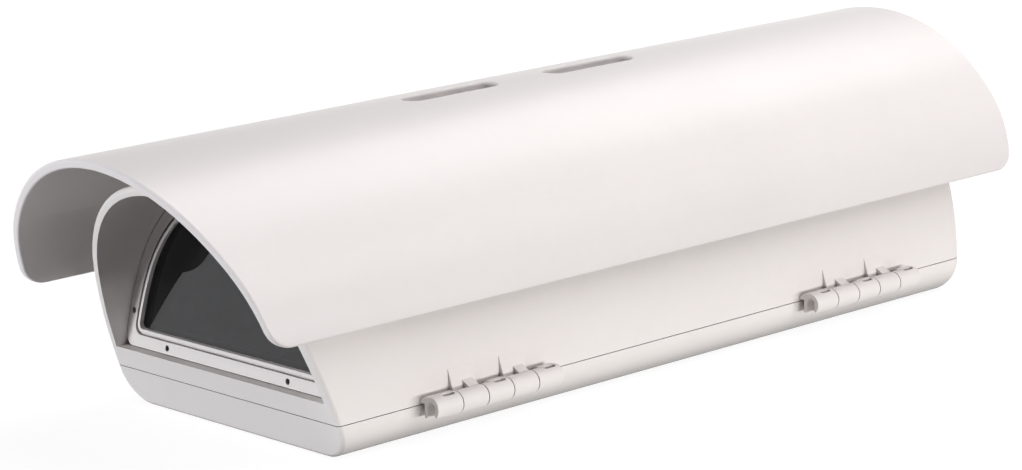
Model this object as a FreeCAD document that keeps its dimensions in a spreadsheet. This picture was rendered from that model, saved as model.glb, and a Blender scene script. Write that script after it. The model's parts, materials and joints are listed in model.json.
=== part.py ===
import FreeCAD, Part
import Sketcher
import math
import os
import re

# Outdoor housing for a fixed surveillance camera, with its sunshield.
# Millimetres. The window looks along -Y, the hinges are on the +X side and +Z is up.
# The origin is the centre of the four bracket holes, on the flat underside.

doc = FreeCAD.newDocument("camera_housing")
sheet = doc.addObject("Spreadsheet::Sheet", "sizes")

# Driving sizes: alias, value, meaning
SIZES = [
    ("half_width", 67.0, "cover and tray, centre line to outer wall at the split"),
    ("split_height", 14.8, "underside to the joint between tray and cover"),
    ("rise", 83.8, "joint to the cover's crown"),
    ("side_radius", 124.0, "outer radius of the cover's side walls"),
    ("front_reach", 165.8, "origin forward to the front face at the joint"),
    ("rear_reach", 182.4, "origin back to the rear wall"),
    ("rake", 19.0, "lean of the front faces, degrees"),
    ("wall", 3.8, "wall of the cover and of the tray"),
    ("tray_floor", 3.0, "floor of the tray"),
    ("split_gap", 0.3, "gap between tray and cover"),
    ("rear_edge", 10.0, "rounding of the rear edges"),
    ("front_edge", 1.7, "rounding of the front edges"),
    ("tray_edge", 13.6, "rounding along the tray's lower sides"),
    ("shield_half_width", 76.5, "sunshield, centre line to outer edge"),
    ("shield_rise", 61.4, "sunshield's lower edge to its crown"),
    ("shield_foot", 51.3, "height of the sunshield's lower edge"),
    ("shield_side_radius", 48.0, "outer radius of the sunshield's sides"),
    ("shield_wall", 3.5, "sunshield's wall"),
    ("shield_front", 200.0, "origin forward to the sunshield's lower front corner"),
    ("shield_rear", 200.0, "origin back to the sunshield's lower rear corner"),
    ("shield_lean", 3.0, "lean of the sunshield's rear edge, degrees"),
    ("shield_front_corner", 11.0, "rounding of the sunshield's front corners"),
    ("shield_rear_corner", 8.0, "rounding of the sunshield's rear corners"),
    ("shield_rim", 0.9, "rounding of the sunshield's rims"),
    ("pocket_middle", -11.4, "middle between the two pockets, along the length"),
    ("pocket_pitch", 74.7, "centre of one pocket to the other"),
    ("pocket_length", 47.0, "sunshield pockets"),
    ("pocket_width", 10.0, "sunshield pockets"),
    ("pocket_depth", 6.0, "sunshield pockets, below the crown"),
    ("pocket_wall", 3.2, "floor and walls of the pockets"),
    ("pocket_rim", 1.2, "rounding of the pockets' rims"),
    ("shield_travel", 15.0, "sunshield, either way along its slots"),
    ("shield_screw", 2.5, "radius of the sunshield's screws"),
    ("screw_length", 14.0, "sunshield's screws below the washer"),
    ("slot_play", 0.3, "each side of a screw in its slot"),
    ("washer_radius", 4.6, "sunshield's washers"),
    ("washer_thickness", 1.0, "all flat washers"),
    ("shield_head", 4.2, "radius of the sunshield screws' heads"),
    ("low_head", 1.8, "height of the sunshield screws' heads"),
    ("boss_rise", 0.6, "cover's top bosses above its crown"),
    ("boss_radius", 8.0, "cover's top bosses"),
    ("spacer_radius", 6.0, "sunshield's spacers"),
    ("seat_gap", 0.3, "gap at faces that slide past each other"),
    ("hinge_out", 6.4, "side wall to the hinge axis"),
    ("hinge_drop", 0.2, "joint down to the hinge axis"),
    ("knuckle_radius", 4.15, "hinge knuckles"),
    ("knuckle_pitch", 12.7, "one knuckle to the next"),
    ("knuckle_gap", 0.4, "between two knuckles"),
    ("hinge_spacing", 204.5, "centre of one hinge to the other"),
    ("hinge_middle", 6.5, "middle between the two hinges, along the length"),
    ("pin_radius", 1.5, "hinge pins"),
    ("pin_fit", 0.05, "radial play of a hinge pin"),
    ("pin_inset", 4.5, "knuckle's mouth to the end of the pin"),
    ("mouth_radius", 2.3, "open mouth at the ends of each hinge"),
    ("core_slot", 6.2, "length of the core slots on the tray's knuckles"),
    ("core_width", 2.3, "width of the core slots"),
    ("core_depth", 1.6, "depth of the core slots"),
    ("core_offset", 0.5, "hinge axis out to the core slots"),
    ("pad_lag", 1.9, "start of a cover's knuckle back to its pad"),
    ("pad_rise", 6.6, "pads above the knuckles"),
    ("web_rise", 1.9, "webs above the knuckles"),
    ("neck_height", 1.3, "necks of the cover's knuckles"),
    ("neck_lag", 4.6, "start of a tray's knuckle back to its raised neck"),
    ("sill", 23.3, "height of the rail below the window"),
    ("window_reach", 164.4, "origin forward to the window frame at the sill"),
    ("window_tilt", 7.0, "lean of the window, degrees"),
    ("frame_gap", 0.3, "window frame to the hood's inner wall"),
    ("frame_strip", 5.0, "flat strip of the window frame"),
    ("frame_groove", 1.1, "width of the groove round the frame's bead"),
    ("groove_depth", 1.6, "depth of that groove"),
    ("frame_bead", 1.3, "bead round the glass"),
    ("frame_plate", 3.0, "window frame in front of the glass"),
    ("frame_corner", 4.0, "lower corners of the window frame"),
    ("glass_thickness", 3.0, "window glass"),
    ("gasket_thickness", 1.4, "window gasket"),
    ("gasket_squeeze", 0.1, "window frame's back to the flange behind it"),
    ("groove_corner_step", 0.5, "frame's corner radius down to its groove's"),
    ("glass_margin", 5.4, "hood's inner wall to the edge of the glass"),
    ("glass_play", 0.2, "edge of the glass to the frame round it"),
    ("bulkhead", 3.0, "flange behind the window"),
    ("window_screw", 1.0, "radius of the window's screws"),
    ("window_head", 1.4, "radius of their heads"),
    ("window_head_height", 1.2, "height of their heads"),
    ("window_sink", 2.2, "depth of the sinks for their heads"),
    ("sink_play", 0.1, "window screw's head to its sink"),
    ("window_pilot", 3.6, "depth of their pilot holes in the flange"),
    ("screw_inset", 2.65, "hood's inner wall to the middle of the window's screws"),
    ("side_screw_angle", 11.0, "window's side screws, on the side wall's arc"),
    ("crown_screw_angle", 54.7, "window's upper screws, on the crown's arc"),
    ("sill_screw_reach", 36.5, "centre line to the window's lower screws"),
    ("lug_out", 5.0, "side wall to the closing screws"),
    ("lug_radius", 6.5, "closing lugs"),
    ("lug_height", 11.5, "cover's lugs above the joint"),
    ("lug_depth", 12.2, "tray's lugs below the joint"),
    ("closing_screw", 2.5, "radius of the closing screws"),
    ("closing_head", 4.25, "radius of their heads"),
    ("closing_reach", 8.5, "closing screws below the joint"),
    ("closing_play", 0.7, "closing screw to the insert's bore"),
    ("lug_play", 0.3, "closing screw to the bore of the cover's lug"),
    ("seat_play", 0.5, "closing screw's head to its seat in the cover's lug"),
    ("closing_head_height", 4.6, "height of the closing screws' heads"),
    ("closing_socket", 4.0, "hexagon sockets of the closing screws, across the flats"),
    ("closing_socket_depth", 2.0, "depth of those sockets"),
    ("lug_floor", 2.0, "bottom of the tray's lugs"),
    ("shield_socket", 3.0, "hexagon sockets of the sunshield's screws, across the flats"),
    ("shield_insert", 7.0, "length of the inserts in the top bosses"),
    ("bracket_insert", 8.5, "length of the bracket's inserts"),
    ("seal_depth", 1.6, "depth of the grooves for the seals"),
    ("seal_edge", 0.9, "outer wall to the rim seal's groove"),
    ("seal_groove", 2.0, "width of the grooves for the seals"),
    ("seal_play", 0.1, "seal to each side of its groove"),
    ("panel_half_width", 47.0, "gland panel"),
    ("panel_top", 47.0, "height of the gland panel"),
    ("panel_thickness", 4.0, "gland panel"),
    ("panel_gap", 0.4, "gland panel to the cover's rear wall"),
    ("panel_edge", 1.2, "gland panel's edge to its seal's groove"),
    ("opening_half_width", 43.0, "cover's rear opening"),
    ("opening_top", 43.5, "height of the cover's rear opening"),
    ("opening_corner", 8.0, "corners of that opening"),
    ("gland_pitch", 25.0, "one cable gland to the next"),
    ("gland_height", 28.5, "height of the cable glands"),
    ("gland_thread", 8.0, "radius of the glands' threads"),
    ("gland_bore", 4.0, "radius of the cable's way through a gland"),
    ("gland_hex", 20.0, "glands, across the flats"),
    ("hex_step", 1.0, "glands' hexagon down to the cap nuts' and up to the locknuts'"),
    ("gland_flange", 4.5, "length of the glands' hexagons"),
    ("gland_stem", 6.0, "glands' threads inside the panel"),
    ("gland_neck", 5.0, "length of the glands' necks"),
    ("gland_neck_step", 0.8, "thread's radius down to the neck's"),
    ("gland_wall", 2.2, "wall of the glands' threads"),
    ("gland_seal", 9.0, "length of the glands' seals"),
    ("cap_hex", 5.5, "length of the cap nuts' hexagons"),
    ("cap_dome", 4.0, "length of the cap nuts' domes"),
    ("cap_shoulder", 9.3, "radius of the domes at the hexagon"),
    ("cap_play", 0.6, "cable's way to the cap nut's mouth"),
    ("cap_lip", 1.2, "lip round the cap nut's mouth"),
    ("locknut", 3.0, "thickness of the locknuts"),
    ("bracket_x", 40.0, "bracket holes, across"),
    ("bracket_y", 70.0, "bracket holes, along"),
    ("bracket_bore", 2.5, "radius of the bracket's threads"),
    ("insert_wall", 1.6, "wall of the brass inserts"),
    ("boss_wall", 2.0, "plastic round an insert or a screw"),
    ("plate_height", 11.0, "underside of the camera plate"),
    ("plate_thickness", 2.0, "camera plate"),
    ("plate_half_width", 32.0, "camera plate"),
    ("plate_front", 118.0, "origin forward to the camera plate's front edge"),
    ("plate_rear", 92.0, "origin back to its rear edge"),
    ("plate_margin", 7.0, "edge of the camera plate to its screws"),
    ("camera_screw", 3.175, "radius of the camera's screw"),
    ("camera_travel", 60.0, "camera block, either way"),
    ("camera_play", 0.35, "camera screw to the slot"),
    ("block_size", 34.0, "camera block, along and across"),
    ("block_height", 5.0, "camera block"),
    ("camera_shank", 2.5, "radius of the camera screw's plain shank"),
    ("camera_stub", 5.2, "thread of the camera's screw above its block"),
    ("knob_radius", 9.0, "camera screw's knob"),
    ("knob_height", 5.5, "camera screw's knob"),
    ("knob_flute", 0.7, "radius of the knob's flutes"),
    ("block_corner", 3.0, "corners of the camera block"),
    ("small_screw", 1.5, "radius of the inner screws"),
    ("small_head", 2.8, "radius of their heads"),
    ("small_head_height", 2.0, "height of their heads"),
    ("plate_screw_reach", 8.0, "camera plate's screws below their heads"),
    ("board_screw_reach", 6.0, "board's screws below their heads"),
    ("heater_screw_reach", 5.0, "heater's and earth screws below their heads"),
    ("board_height", 9.0, "underside of the terminal board"),
    ("board_thickness", 1.6, "terminal board"),
    ("board_half_width", 40.0, "terminal board"),
    ("board_back", 32.4, "rear wall forward to the board's rear edge"),
    ("board_length", 42.0, "terminal board, along the length"),
    ("board_margin", 5.0, "edge of the board to its screws"),
    ("strip_half_length", 24.0, "terminal strips"),
    ("strip_depth", 9.0, "terminal strips, along the length"),
    ("strip_height", 11.0, "terminal strips"),
    ("strip_margin", 9.0, "edge of the board to the middle of a strip"),
    ("strip_pitch", 6.0, "one terminal to the next"),
    ("strip_well", 1.9, "radius of the terminals' wells"),
    ("strip_well_depth", 4.0, "depth of those wells"),
    ("heater_half_width", 34.0, "heater block"),
    ("heater_back", 19.8, "front face's foot back to the heater"),
    ("heater_depth", 16.0, "heater block, along the length"),
    ("heater_height", 11.0, "heater block"),
    ("heater_base", 3.0, "thickness of the heater's base"),
    ("heater_step", 5.0, "heater's ends, each side of a screw"),
    ("heater_margin", 4.0, "heater's ends to its screws"),
    ("heater_foot", 1.0, "air gap under the heater"),
    ("fin_pitch", 4.0, "one heater fin to the next"),
    ("fin_gap", 2.0, "between two heater fins"),
    ("earth_x", 52.0, "centre line to the earth screw, away from the hinges"),
    ("earth_y", 60.0, "origin back to the earth screw"),
    ("earth_height", 8.0, "earth screw's post"),
    ("past", 1.0, "run of a cutting shape past the face that it cuts"),
]
ROWS = {alias: number for number, (alias, _, _) in enumerate(SIZES, start=1)}
for alias, number in ROWS.items():
    _, amount, meaning = SIZES[number - 1]
    sheet.set(f"A{number}", alias)
    sheet.set(f"B{number}", str(amount))
    sheet.set(f"C{number}", meaning)
    sheet.setAlias(f"B{number}", alias)
doc.recompute()

# Far ends of cutting shapes, well outside the object
FAR = 400.0
NODES = []


# Expressions
def prefixed(text):
    """Turn the aliases in an expression into references to the sheet."""
    return re.sub(r"[a-z_]+", lambda m: f"sizes.{m[0]}" if m[0] in ROWS else m[0], str(text))


def value(text):
    """Evaluate an expression of aliases."""
    return float(sheet.evalExpression(str(text)))


def bind(item, prop, text):
    """Give a property its present value and tie it to the sheet."""
    item.setExpression(prop, prefixed(text))


# Sketches
def plane_of(body, role):
    return next(f for f in body.Origin.OriginFeatures if f.Role == role)


def sketch_on(body, role, name, offset="0"):
    """A sketch on a body's own origin plane, moved by offset along the plane's normal."""
    sketch = body.newObject("Sketcher::SketchObject", name)
    sketch.AttachmentSupport = [(plane_of(body, role), "")]
    sketch.MapMode = "FlatFace"
    bind(sketch, "AttachmentOffset.Base.z", offset)
    return sketch


def dimension(sketch, name, kind, *where_and_text):
    """Add a named driving dimension tied to the sheet."""
    *where, text = where_and_text
    number = sketch.addConstraint(Sketcher.Constraint(kind, *where, value(text)))
    sketch.renameConstraint(number, name)
    bind(sketch, f"Constraints.{name}", text)


def polygon(body, role, name, corners, offset="0"):
    """A closed outline of straight lines; corners are pairs of expressions."""
    sketch = sketch_on(body, role, name, offset)
    points = [FreeCAD.Vector(value(x), value(y), 0) for x, y in corners]
    count = len(points)
    for i in range(count):
        sketch.addGeometry(Part.LineSegment(points[i], points[(i + 1) % count]), False)
    for i in range(count):
        sketch.addConstraint(Sketcher.Constraint("Coincident", i, 2, (i + 1) % count, 1))
    for i, (x, y) in enumerate(corners):
        dimension(sketch, f"x_{i}", "DistanceX", -1, 1, i, 1, x)
        dimension(sketch, f"y_{i}", "DistanceY", -1, 1, i, 1, y)
    return sketch


# An arch is half width, rise, side radius and base height: side arcs tangent to a crown arc
COVER_ARCH = ("half_width", "rise", "side_radius", "split_height")
SHIELD_ARCH = ("shield_half_width", "shield_rise", "shield_side_radius", "shield_foot")


def arch_outline(body, name, arch, inset, foot, offset):
    """Arch section on the XZ plane, set in by inset, closed by a straight foot."""
    wide, rise, side, base = arch
    sketch = sketch_on(body, "XZ_Plane", name, offset)
    half, top, radius, level = (value(t) for t in arch)
    step, low = value(inset), value(foot) - level
    crown = (half ** 2 + top ** 2 - 2 * half * radius) / (2 * (top - radius))
    side_middle = FreeCAD.Vector(half - radius, level, 0)
    crown_middle = FreeCAD.Vector(0, level + top - crown, 0)
    left_middle = FreeCAD.Vector(-side_middle.x, level, 0)
    start = math.asin(low / (radius - step))
    link = (crown_middle - side_middle) * (1 if radius > crown else -1)
    join = math.atan2(link.y, link.x)
    normal = FreeCAD.Vector(0, 0, 1)

    def arc(middle, size, first, last):
        return Part.ArcOfCircle(Part.Circle(middle, normal, size), first, last)

    right = arc(side_middle, radius - step, start, join)
    left = arc(left_middle, radius - step, math.pi - join, math.pi - start)
    sketch.addGeometry(Part.LineSegment(left.EndPoint, right.StartPoint), False)
    sketch.addGeometry(right, False)
    sketch.addGeometry(arc(crown_middle, crown - step, join, math.pi - join), False)
    sketch.addGeometry(left, False)
    sketch.addGeometry(Part.Point(FreeCAD.Vector(0, level + top - step, 0)), True)
    sketch.addConstraint(Sketcher.Constraint("Coincident", 0, 2, 1, 1))
    sketch.addConstraint(Sketcher.Constraint("Coincident", 0, 1, 3, 2))
    sketch.addConstraint(Sketcher.Constraint("Tangent", 1, 2, 2, 1))
    sketch.addConstraint(Sketcher.Constraint("Tangent", 2, 2, 3, 1))
    sketch.addConstraint(Sketcher.Constraint("PointOnObject", 4, 1, 2))
    sketch.addConstraint(Sketcher.Constraint("PointOnObject", 4, 1, -2))
    sketch.addConstraint(Sketcher.Constraint("Horizontal", 0))
    dimension(sketch, "foot", "DistanceY", -1, 1, 0, 1, foot)
    dimension(sketch, "top", "DistanceY", -1, 1, 4, 1, f"{base} + {rise} - ({inset})")
    dimension(sketch, "right_x", "DistanceX", -1, 1, 1, 3, f"{wide} - {side}")
    dimension(sketch, "right_z", "DistanceY", -1, 1, 1, 3, base)
    dimension(sketch, "right_radius", "Radius", 1, f"{side} - ({inset})")
    dimension(sketch, "left_x", "DistanceX", -1, 1, 3, 3, f"{side} - {wide}")
    dimension(sketch, "left_z", "DistanceY", -1, 1, 3, 3, base)
    dimension(sketch, "left_radius", "Radius", 3, f"{side} - ({inset})")
    return sketch


# Features of a body
def new_body(name):
    return doc.addObject("PartDesign::Body", name)


def pad(body, sketch, length, both_ways=False, turned=False):
    feature = body.newObject("PartDesign::Pad", "pad")
    feature.Profile = sketch
    bind(feature, "Length", length)
    feature.SideType = "Symmetric" if both_ways else "One side"
    feature.Reversed = turned
    doc.recompute()
    return feature


def trim(body, sketch):
    """Cut an outline right through the body, both ways from the sketch."""
    before = body.Shape.Volume
    feature = body.newObject("PartDesign::Pocket", "trim")
    feature.Profile = sketch
    feature.SideType = "Symmetric"
    feature.Type = "ThroughAll"
    doc.recompute()
    if body.Shape.Volume >= before:
        raise RuntimeError(f"{body.Name}: {sketch.Name} cuts nothing")
    return feature


def edges_where(shape, test):
    """Names of the edges whose ends and middle all pass a test."""
    names = []
    for number, edge in enumerate(shape.Edges, start=1):
        low, high = edge.ParameterRange
        points = [edge.valueAt(low + (high - low) * share) for share in (0.05, 0.5, 0.95)]
        if all(test(p) for p in points):
            names.append(f"Edge{number}")
    return names


def round_edges(body, radius, test):
    """Round the edges of the body's tip that pass a test."""
    base = body.Tip
    names = edges_where(base.Shape, test)
    if not names:
        raise RuntimeError(f"{body.Name}: no edges to round")
    feature = body.newObject("PartDesign::Fillet", "rounding")
    feature.Base = (base, names)
    bind(feature, "Radius", radius)
    doc.recompute()
    return feature


def near(a, b):
    return abs(a - b) < 0.001


# Slanted ends: each gives the Y of a plane as an expression of the height
def front_face(height):
    return f"-front_reach - ({height} - split_height) * tan(rake)"


def front_inside(height):
    return f"{front_face(height)} + wall / cos(rake)"


def upright(text):
    return lambda height: text


def window_face(depth):
    """Plane of the window, at a depth behind the frame's face."""
    back = f"({depth}) / cos(window_tilt)"
    return lambda height: f"-window_reach + ({height} - sill) * tan(window_tilt) + {back}"


def shield_front_face(height):
    return f"-shield_front - ({height} - shield_foot) * tan(rake)"


def shield_rear_face(height):
    return f"shield_rear + ({height} - shield_foot) * tan(shield_lean)"


def cut_ends(body, front, rear):
    """Trim a body to two planes that are square to the YZ plane."""
    low, high = "-20", "split_height + rise + 60"
    for name, face, far in (("front_end", front, -FAR), ("rear_end", rear, FAR)):
        corners = [(far, low), (face(low), low), (face(high), high), (far, high)]
        trim(body, polygon(body, "YZ_Plane", name, corners))


def arch_prism(name, arch, inset, foot, front, rear, corner=None):
    """Arch section run along the length between two end planes."""
    body = new_body(name)
    outline = arch_outline(body, "section", arch, inset, foot, -FAR * 0.9)
    pad(body, outline, FAR * 1.8)
    if corner:
        level = value(foot)
        round_edges(body, corner, lambda p: near(p.z, level) and abs(p.y) < FAR * 0.88)
    cut_ends(body, front, rear)
    return body


# Primitives and booleans
TURNS = {
    "Y": FreeCAD.Rotation(FreeCAD.Vector(1, 0, 0), -90),
    "Z": FreeCAD.Rotation(),
}


def placed(item, x, y, z, axis="Z"):
    item.Placement = FreeCAD.Placement(FreeCAD.Vector(), TURNS[axis])
    for key, text in zip("xyz", (x, y, z)):
        bind(item, f"Placement.Base.{key}", text)
    return item


def box(name, x, y, z):
    """Box between pairs of expressions along each axis."""
    item = doc.addObject("Part::Box", name)
    for prop, (low, high) in (("Length", x), ("Width", y), ("Height", z)):
        bind(item, prop, f"({high}) - ({low})")
    return placed(item, x[0], y[0], z[0])


def rod(name, radius, length, x, y, z, axis="Z"):
    item = doc.addObject("Part::Cylinder", name)
    bind(item, "Radius", radius)
    bind(item, "Height", length)
    return placed(item, x, y, z, axis)


def cone(name, first, last, length, x, y, z, axis="Z"):
    item = doc.addObject("Part::Cone", name)
    bind(item, "Radius1", first)
    bind(item, "Radius2", last)
    bind(item, "Height", length)
    return placed(item, x, y, z, axis)


def hexagon(name, across, length, x, y, z, axis="Z"):
    item = doc.addObject("Part::Prism", name)
    item.Polygon = 6
    bind(item, "Circumradius", f"({across}) / 2 / cos(30)")
    bind(item, "Height", length)
    return placed(item, x, y, z, axis)


def fuse(name, shapes):
    item = doc.addObject("Part::MultiFuse", name)
    item.Shapes = shapes
    item.Refine = True
    return item


def cut(name, base, tools):
    item = doc.addObject("Part::Cut", name)
    item.Base = base
    item.Tool = tools[0] if len(tools) == 1 else fuse(f"{name}_tools", tools)
    item.Refine = True
    return item


def group(name, shapes):
    item = doc.addObject("Part::Compound", name)
    item.Links = shapes
    return item


def node(item, label):
    """Mark an object as a finished piece."""
    item.Label = label
    NODES.append(item)
    return item


def slab(name, corners, low, high, role="XZ_Plane"):
    """Polygon run between two levels: along the length from XZ, across from YZ, up from XY."""
    body = new_body(name)
    sign = -1 if role == "XZ_Plane" else 1
    start = high if sign < 0 else low
    outline = polygon(body, role, "section", corners, f"{sign} * ({start})")
    pad(body, outline, f"({high}) - ({low})")
    return body


# Shared levels
TRAY_TOP = "split_height - split_gap / 2"
COVER_FOOT = "split_height + split_gap / 2"
CROWN = "split_height + rise"
SHIELD_CROWN = "shield_foot + shield_rise"
HINGE_X = "half_width + hinge_out"
HINGE_Z = "split_height - hinge_drop"
REAR_INSIDE = "rear_reach - wall"
POCKETS = {"front": "pocket_middle - pocket_pitch / 2", "rear": "pocket_middle + pocket_pitch / 2"}
HINGES = {"front": "hinge_middle - hinge_spacing / 2", "rear": "hinge_middle + hinge_spacing / 2"}
KNUCKLES = 5
KNUCKLE_LENGTH = "(knuckle_pitch - knuckle_gap)"
# Room for rounding errors in the tests that pick edges
SLACK = 0.1


def knuckle_start(middle, number):
    return f"{middle} + ({number} - {KNUCKLES} / 2) * knuckle_pitch + knuckle_gap / 2"


# Depths behind the window frame's face, and the openings' outlines
FRAME_OUTER = "wall + frame_gap"
GROOVE_OUTER = "wall + frame_strip"
GROOVE_INNER = "wall + frame_strip + frame_groove"
FRAME_OPENING = "wall + frame_strip + frame_groove + frame_bead"
SILL_OPENING = "sill + frame_strip + frame_groove + frame_bead"
OPENING_CORNER = "frame_corner / 2"
GLASS_BACK = "frame_plate + glass_thickness"
GASKET_BACK = "frame_plate + glass_thickness + gasket_thickness"


# Sunshield
def obround(name, x, y, length, width, low, high):
    """Upright slot shape with round ends, along Y."""
    reach = f"(({length}) - ({width})) / 2"
    tall = f"({high}) - ({low})"
    ends = [rod(f"{name}_end", f"({width}) / 2", tall, x, f"{y} + {s} * {reach}", low) for s in (-1, 1)]
    middle = box(f"{name}_middle", (f"{x} - ({width}) / 2", f"{x} + ({width}) / 2"),
                 (f"{y} - {reach}", f"{y} + {reach}"), (low, high))
    return fuse(name, ends + [middle])


POCKET_FLOOR = f"{SHIELD_CROWN} - pocket_depth"
POCKET_UNDER = f"{POCKET_FLOOR} - pocket_wall"
SLOT_WIDTH = "2 * (shield_screw + slot_play)"
FOOT_DROP = "5"


def on_rim(p, foot):
    """Whether a point lies on the sunshield's front, rear or lower rim."""
    front = near(p.y, value(shield_front_face(p.z)))
    rear = near(p.y, value(shield_rear_face(p.z)))
    return front or rear or near(p.z, foot)


def obround_outline(body, name, y, length, width):
    """Slot outline with round ends on the XY plane, along Y and centred across."""
    sketch = sketch_on(body, "XY_Plane", name)
    radius = value(width) / 2
    reach = value(length) / 2 - radius
    normal = FreeCAD.Vector(0, 0, 1)

    def end(middle, first):
        circle = Part.Circle(FreeCAD.Vector(0, middle, 0), normal, radius)
        return Part.ArcOfCircle(circle, first, first + math.pi)

    rear = end(value(y) + reach, 0)
    front = end(value(y) - reach, math.pi)
    right = Part.LineSegment(front.EndPoint, rear.StartPoint)
    left = Part.LineSegment(rear.EndPoint, front.StartPoint)
    for item in (right, rear, left, front):
        sketch.addGeometry(item, False)
    for i in range(4):
        sketch.addConstraint(Sketcher.Constraint("Tangent", i, 2, (i + 1) % 4, 1))
    sketch.addConstraint(Sketcher.Constraint("Equal", 1, 3))
    dimension(sketch, "radius", "Radius", 1, f"({width}) / 2")
    for i, sign in ((1, 1), (3, -1)):
        dimension(sketch, f"x_{i}", "DistanceX", -1, 1, i, 3, "0")
        dimension(sketch, f"y_{i}", "DistanceY", -1, 1, i, 3, f"{y} + {sign} * (({length}) - ({width})) / 2")
    return sketch


def make_sunshield():
    shell = arch_prism("shield_shell", SHIELD_ARCH, "0", "shield_foot", shield_front_face, shield_rear_face)
    foot = value("shield_foot")
    front, rear = value(shield_front_face(foot)), value(shield_rear_face(foot))
    round_edges(shell, "shield_front_corner", lambda p: near(p.z, foot) and near(p.y, front))
    round_edges(shell, "shield_rear_corner", lambda p: near(p.z, foot) and near(p.y, rear))
    trim(shell, arch_outline(shell, "inside", SHIELD_ARCH, "shield_wall", f"shield_foot - {FOOT_DROP}", "0"))
    round_edges(shell, "shield_rim", lambda p: on_rim(p, foot))
    for key, y in POCKETS.items():
        trim(shell, obround_outline(shell, f"mouth_{key}", y, "pocket_length", "pocket_width"))
    upper = value(f"{SHIELD_CROWN} - shield_wall / 2")
    round_edges(shell, "pocket_rim", lambda p: p.z > upper and abs(p.x) < value("pocket_width"))
    blocks = []
    hollows = []
    for key, y in POCKETS.items():
        blocks.append(obround(f"pocket_block_{key}", "0", y, "pocket_length + 2 * pocket_wall",
                              "pocket_width + 2 * pocket_wall", POCKET_UNDER,
                              f"{SHIELD_CROWN} - shield_wall / 2"))
        hollows.append(obround(f"pocket_hollow_{key}", "0", y, "pocket_length", "pocket_width",
                               POCKET_FLOOR, f"{SHIELD_CROWN} + past"))
        hollows.append(obround(f"pocket_slot_{key}", "0", y, f"2 * shield_travel + {SLOT_WIDTH}",
                               SLOT_WIDTH, f"{POCKET_UNDER} - past", f"{POCKET_FLOOR} + past"))
    node(cut("sunshield_solid", fuse("shield_blocks", [shell] + blocks), hollows), "sunshield")


# Cover
KNUCKLE_TOP = f"{HINGE_Z} + knuckle_radius"
WALL_MIDDLE = "half_width - wall / 2"
PAD_SHAPE = [
    (WALL_MIDDLE, COVER_FOOT),
    ("half_width + 0.25 * hinge_out", COVER_FOOT),
    ("half_width + 0.35 * hinge_out", f"{HINGE_Z} + 0.7 * knuckle_radius"),
    ("half_width - 0.1 * wall", f"{KNUCKLE_TOP} + pad_rise"),
    (WALL_MIDDLE, f"{KNUCKLE_TOP} + pad_rise"),
]
WEB_SHAPE = [
    (WALL_MIDDLE, COVER_FOOT),
    (HINGE_X, COVER_FOOT),
    (HINGE_X, f"{HINGE_Z} + 0.9 * knuckle_radius"),
    ("half_width + 0.8 * hinge_out", f"{HINGE_Z} + 0.94 * knuckle_radius"),
    ("half_width + 0.16 * hinge_out", f"{KNUCKLE_TOP} + web_rise"),
    (WALL_MIDDLE, f"{KNUCKLE_TOP} + web_rise"),
]
NECK_SHAPE = [
    (WALL_MIDDLE, COVER_FOOT),
    (HINGE_X, COVER_FOOT),
    (HINGE_X, f"{COVER_FOOT} + neck_height"),
    (WALL_MIDDLE, f"{COVER_FOOT} + neck_height"),
]


def cover_knuckles():
    """Cover's hinge knuckles, each with the pad, web and neck that carry it."""
    shapes = []
    bores = []
    for key, middle in HINGES.items():
        for number in (1, 3):
            start = knuckle_start(middle, number)
            end = f"{start} + {KNUCKLE_LENGTH}"
            name = f"{key}_{number}"
            shapes.append(rod(f"cover_knuckle_{name}", "knuckle_radius", KNUCKLE_LENGTH,
                              HINGE_X, start, HINGE_Z, "Y"))
            shapes.append(slab(f"hinge_pad_{name}", PAD_SHAPE, f"{start} + pad_lag",
                               f"{end} + 0.8 * pad_lag"))
            shapes.append(slab(f"hinge_neck_{name}", NECK_SHAPE, start, end))
            shapes.append(slab(f"hinge_web_{name}", WEB_SHAPE, f"{start} + 0.6 * {KNUCKLE_LENGTH}", end))
            bores.append(rod(f"cover_bore_{name}", "pin_radius + pin_fit", f"{KNUCKLE_LENGTH} + 2 * past",
                             HINGE_X, f"{start} - past", HINGE_Z, "Y"))
    return shapes, bores


LUG_X = "-(half_width + lug_out)"


def lug(name, y, low, high):
    """Closing lug on the side away from the hinges."""
    post = rod(f"{name}_post", "lug_radius", f"({high}) - ({low})", LUG_X, y, low)
    web = box(f"{name}_web", (LUG_X, f"-({WALL_MIDDLE})"), (f"{y} - lug_radius", f"{y} + lug_radius"),
              (low, high))
    return fuse(name, [post, web])


# Window screws, in the middle of the frame's strip: on the sill, the side walls and the crown
CROWN_RADIUS = "(half_width ^ 2 + rise ^ 2 - 2 * half_width * side_radius) / (2 * (rise - side_radius))"
SIDE_ARC = "(side_radius - wall - screw_inset)"
CROWN_ARC = f"({CROWN_RADIUS} - wall - screw_inset)"
WINDOW_SCREWS = [
    ("sill_screw_reach", "sill + screw_inset"),
    (f"half_width - side_radius + {SIDE_ARC} * cos(side_screw_angle)",
     f"split_height + {SIDE_ARC} * sin(side_screw_angle)"),
    (f"{CROWN_ARC} * cos(crown_screw_angle)",
     f"{CROWN} - {CROWN_RADIUS} + {CROWN_ARC} * sin(crown_screw_angle)"),
]
WINDOW_SCREW_SPOTS = [(f"{s} * ({x})", z) for x, z in WINDOW_SCREWS for s in (-1, 1)]


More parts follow.
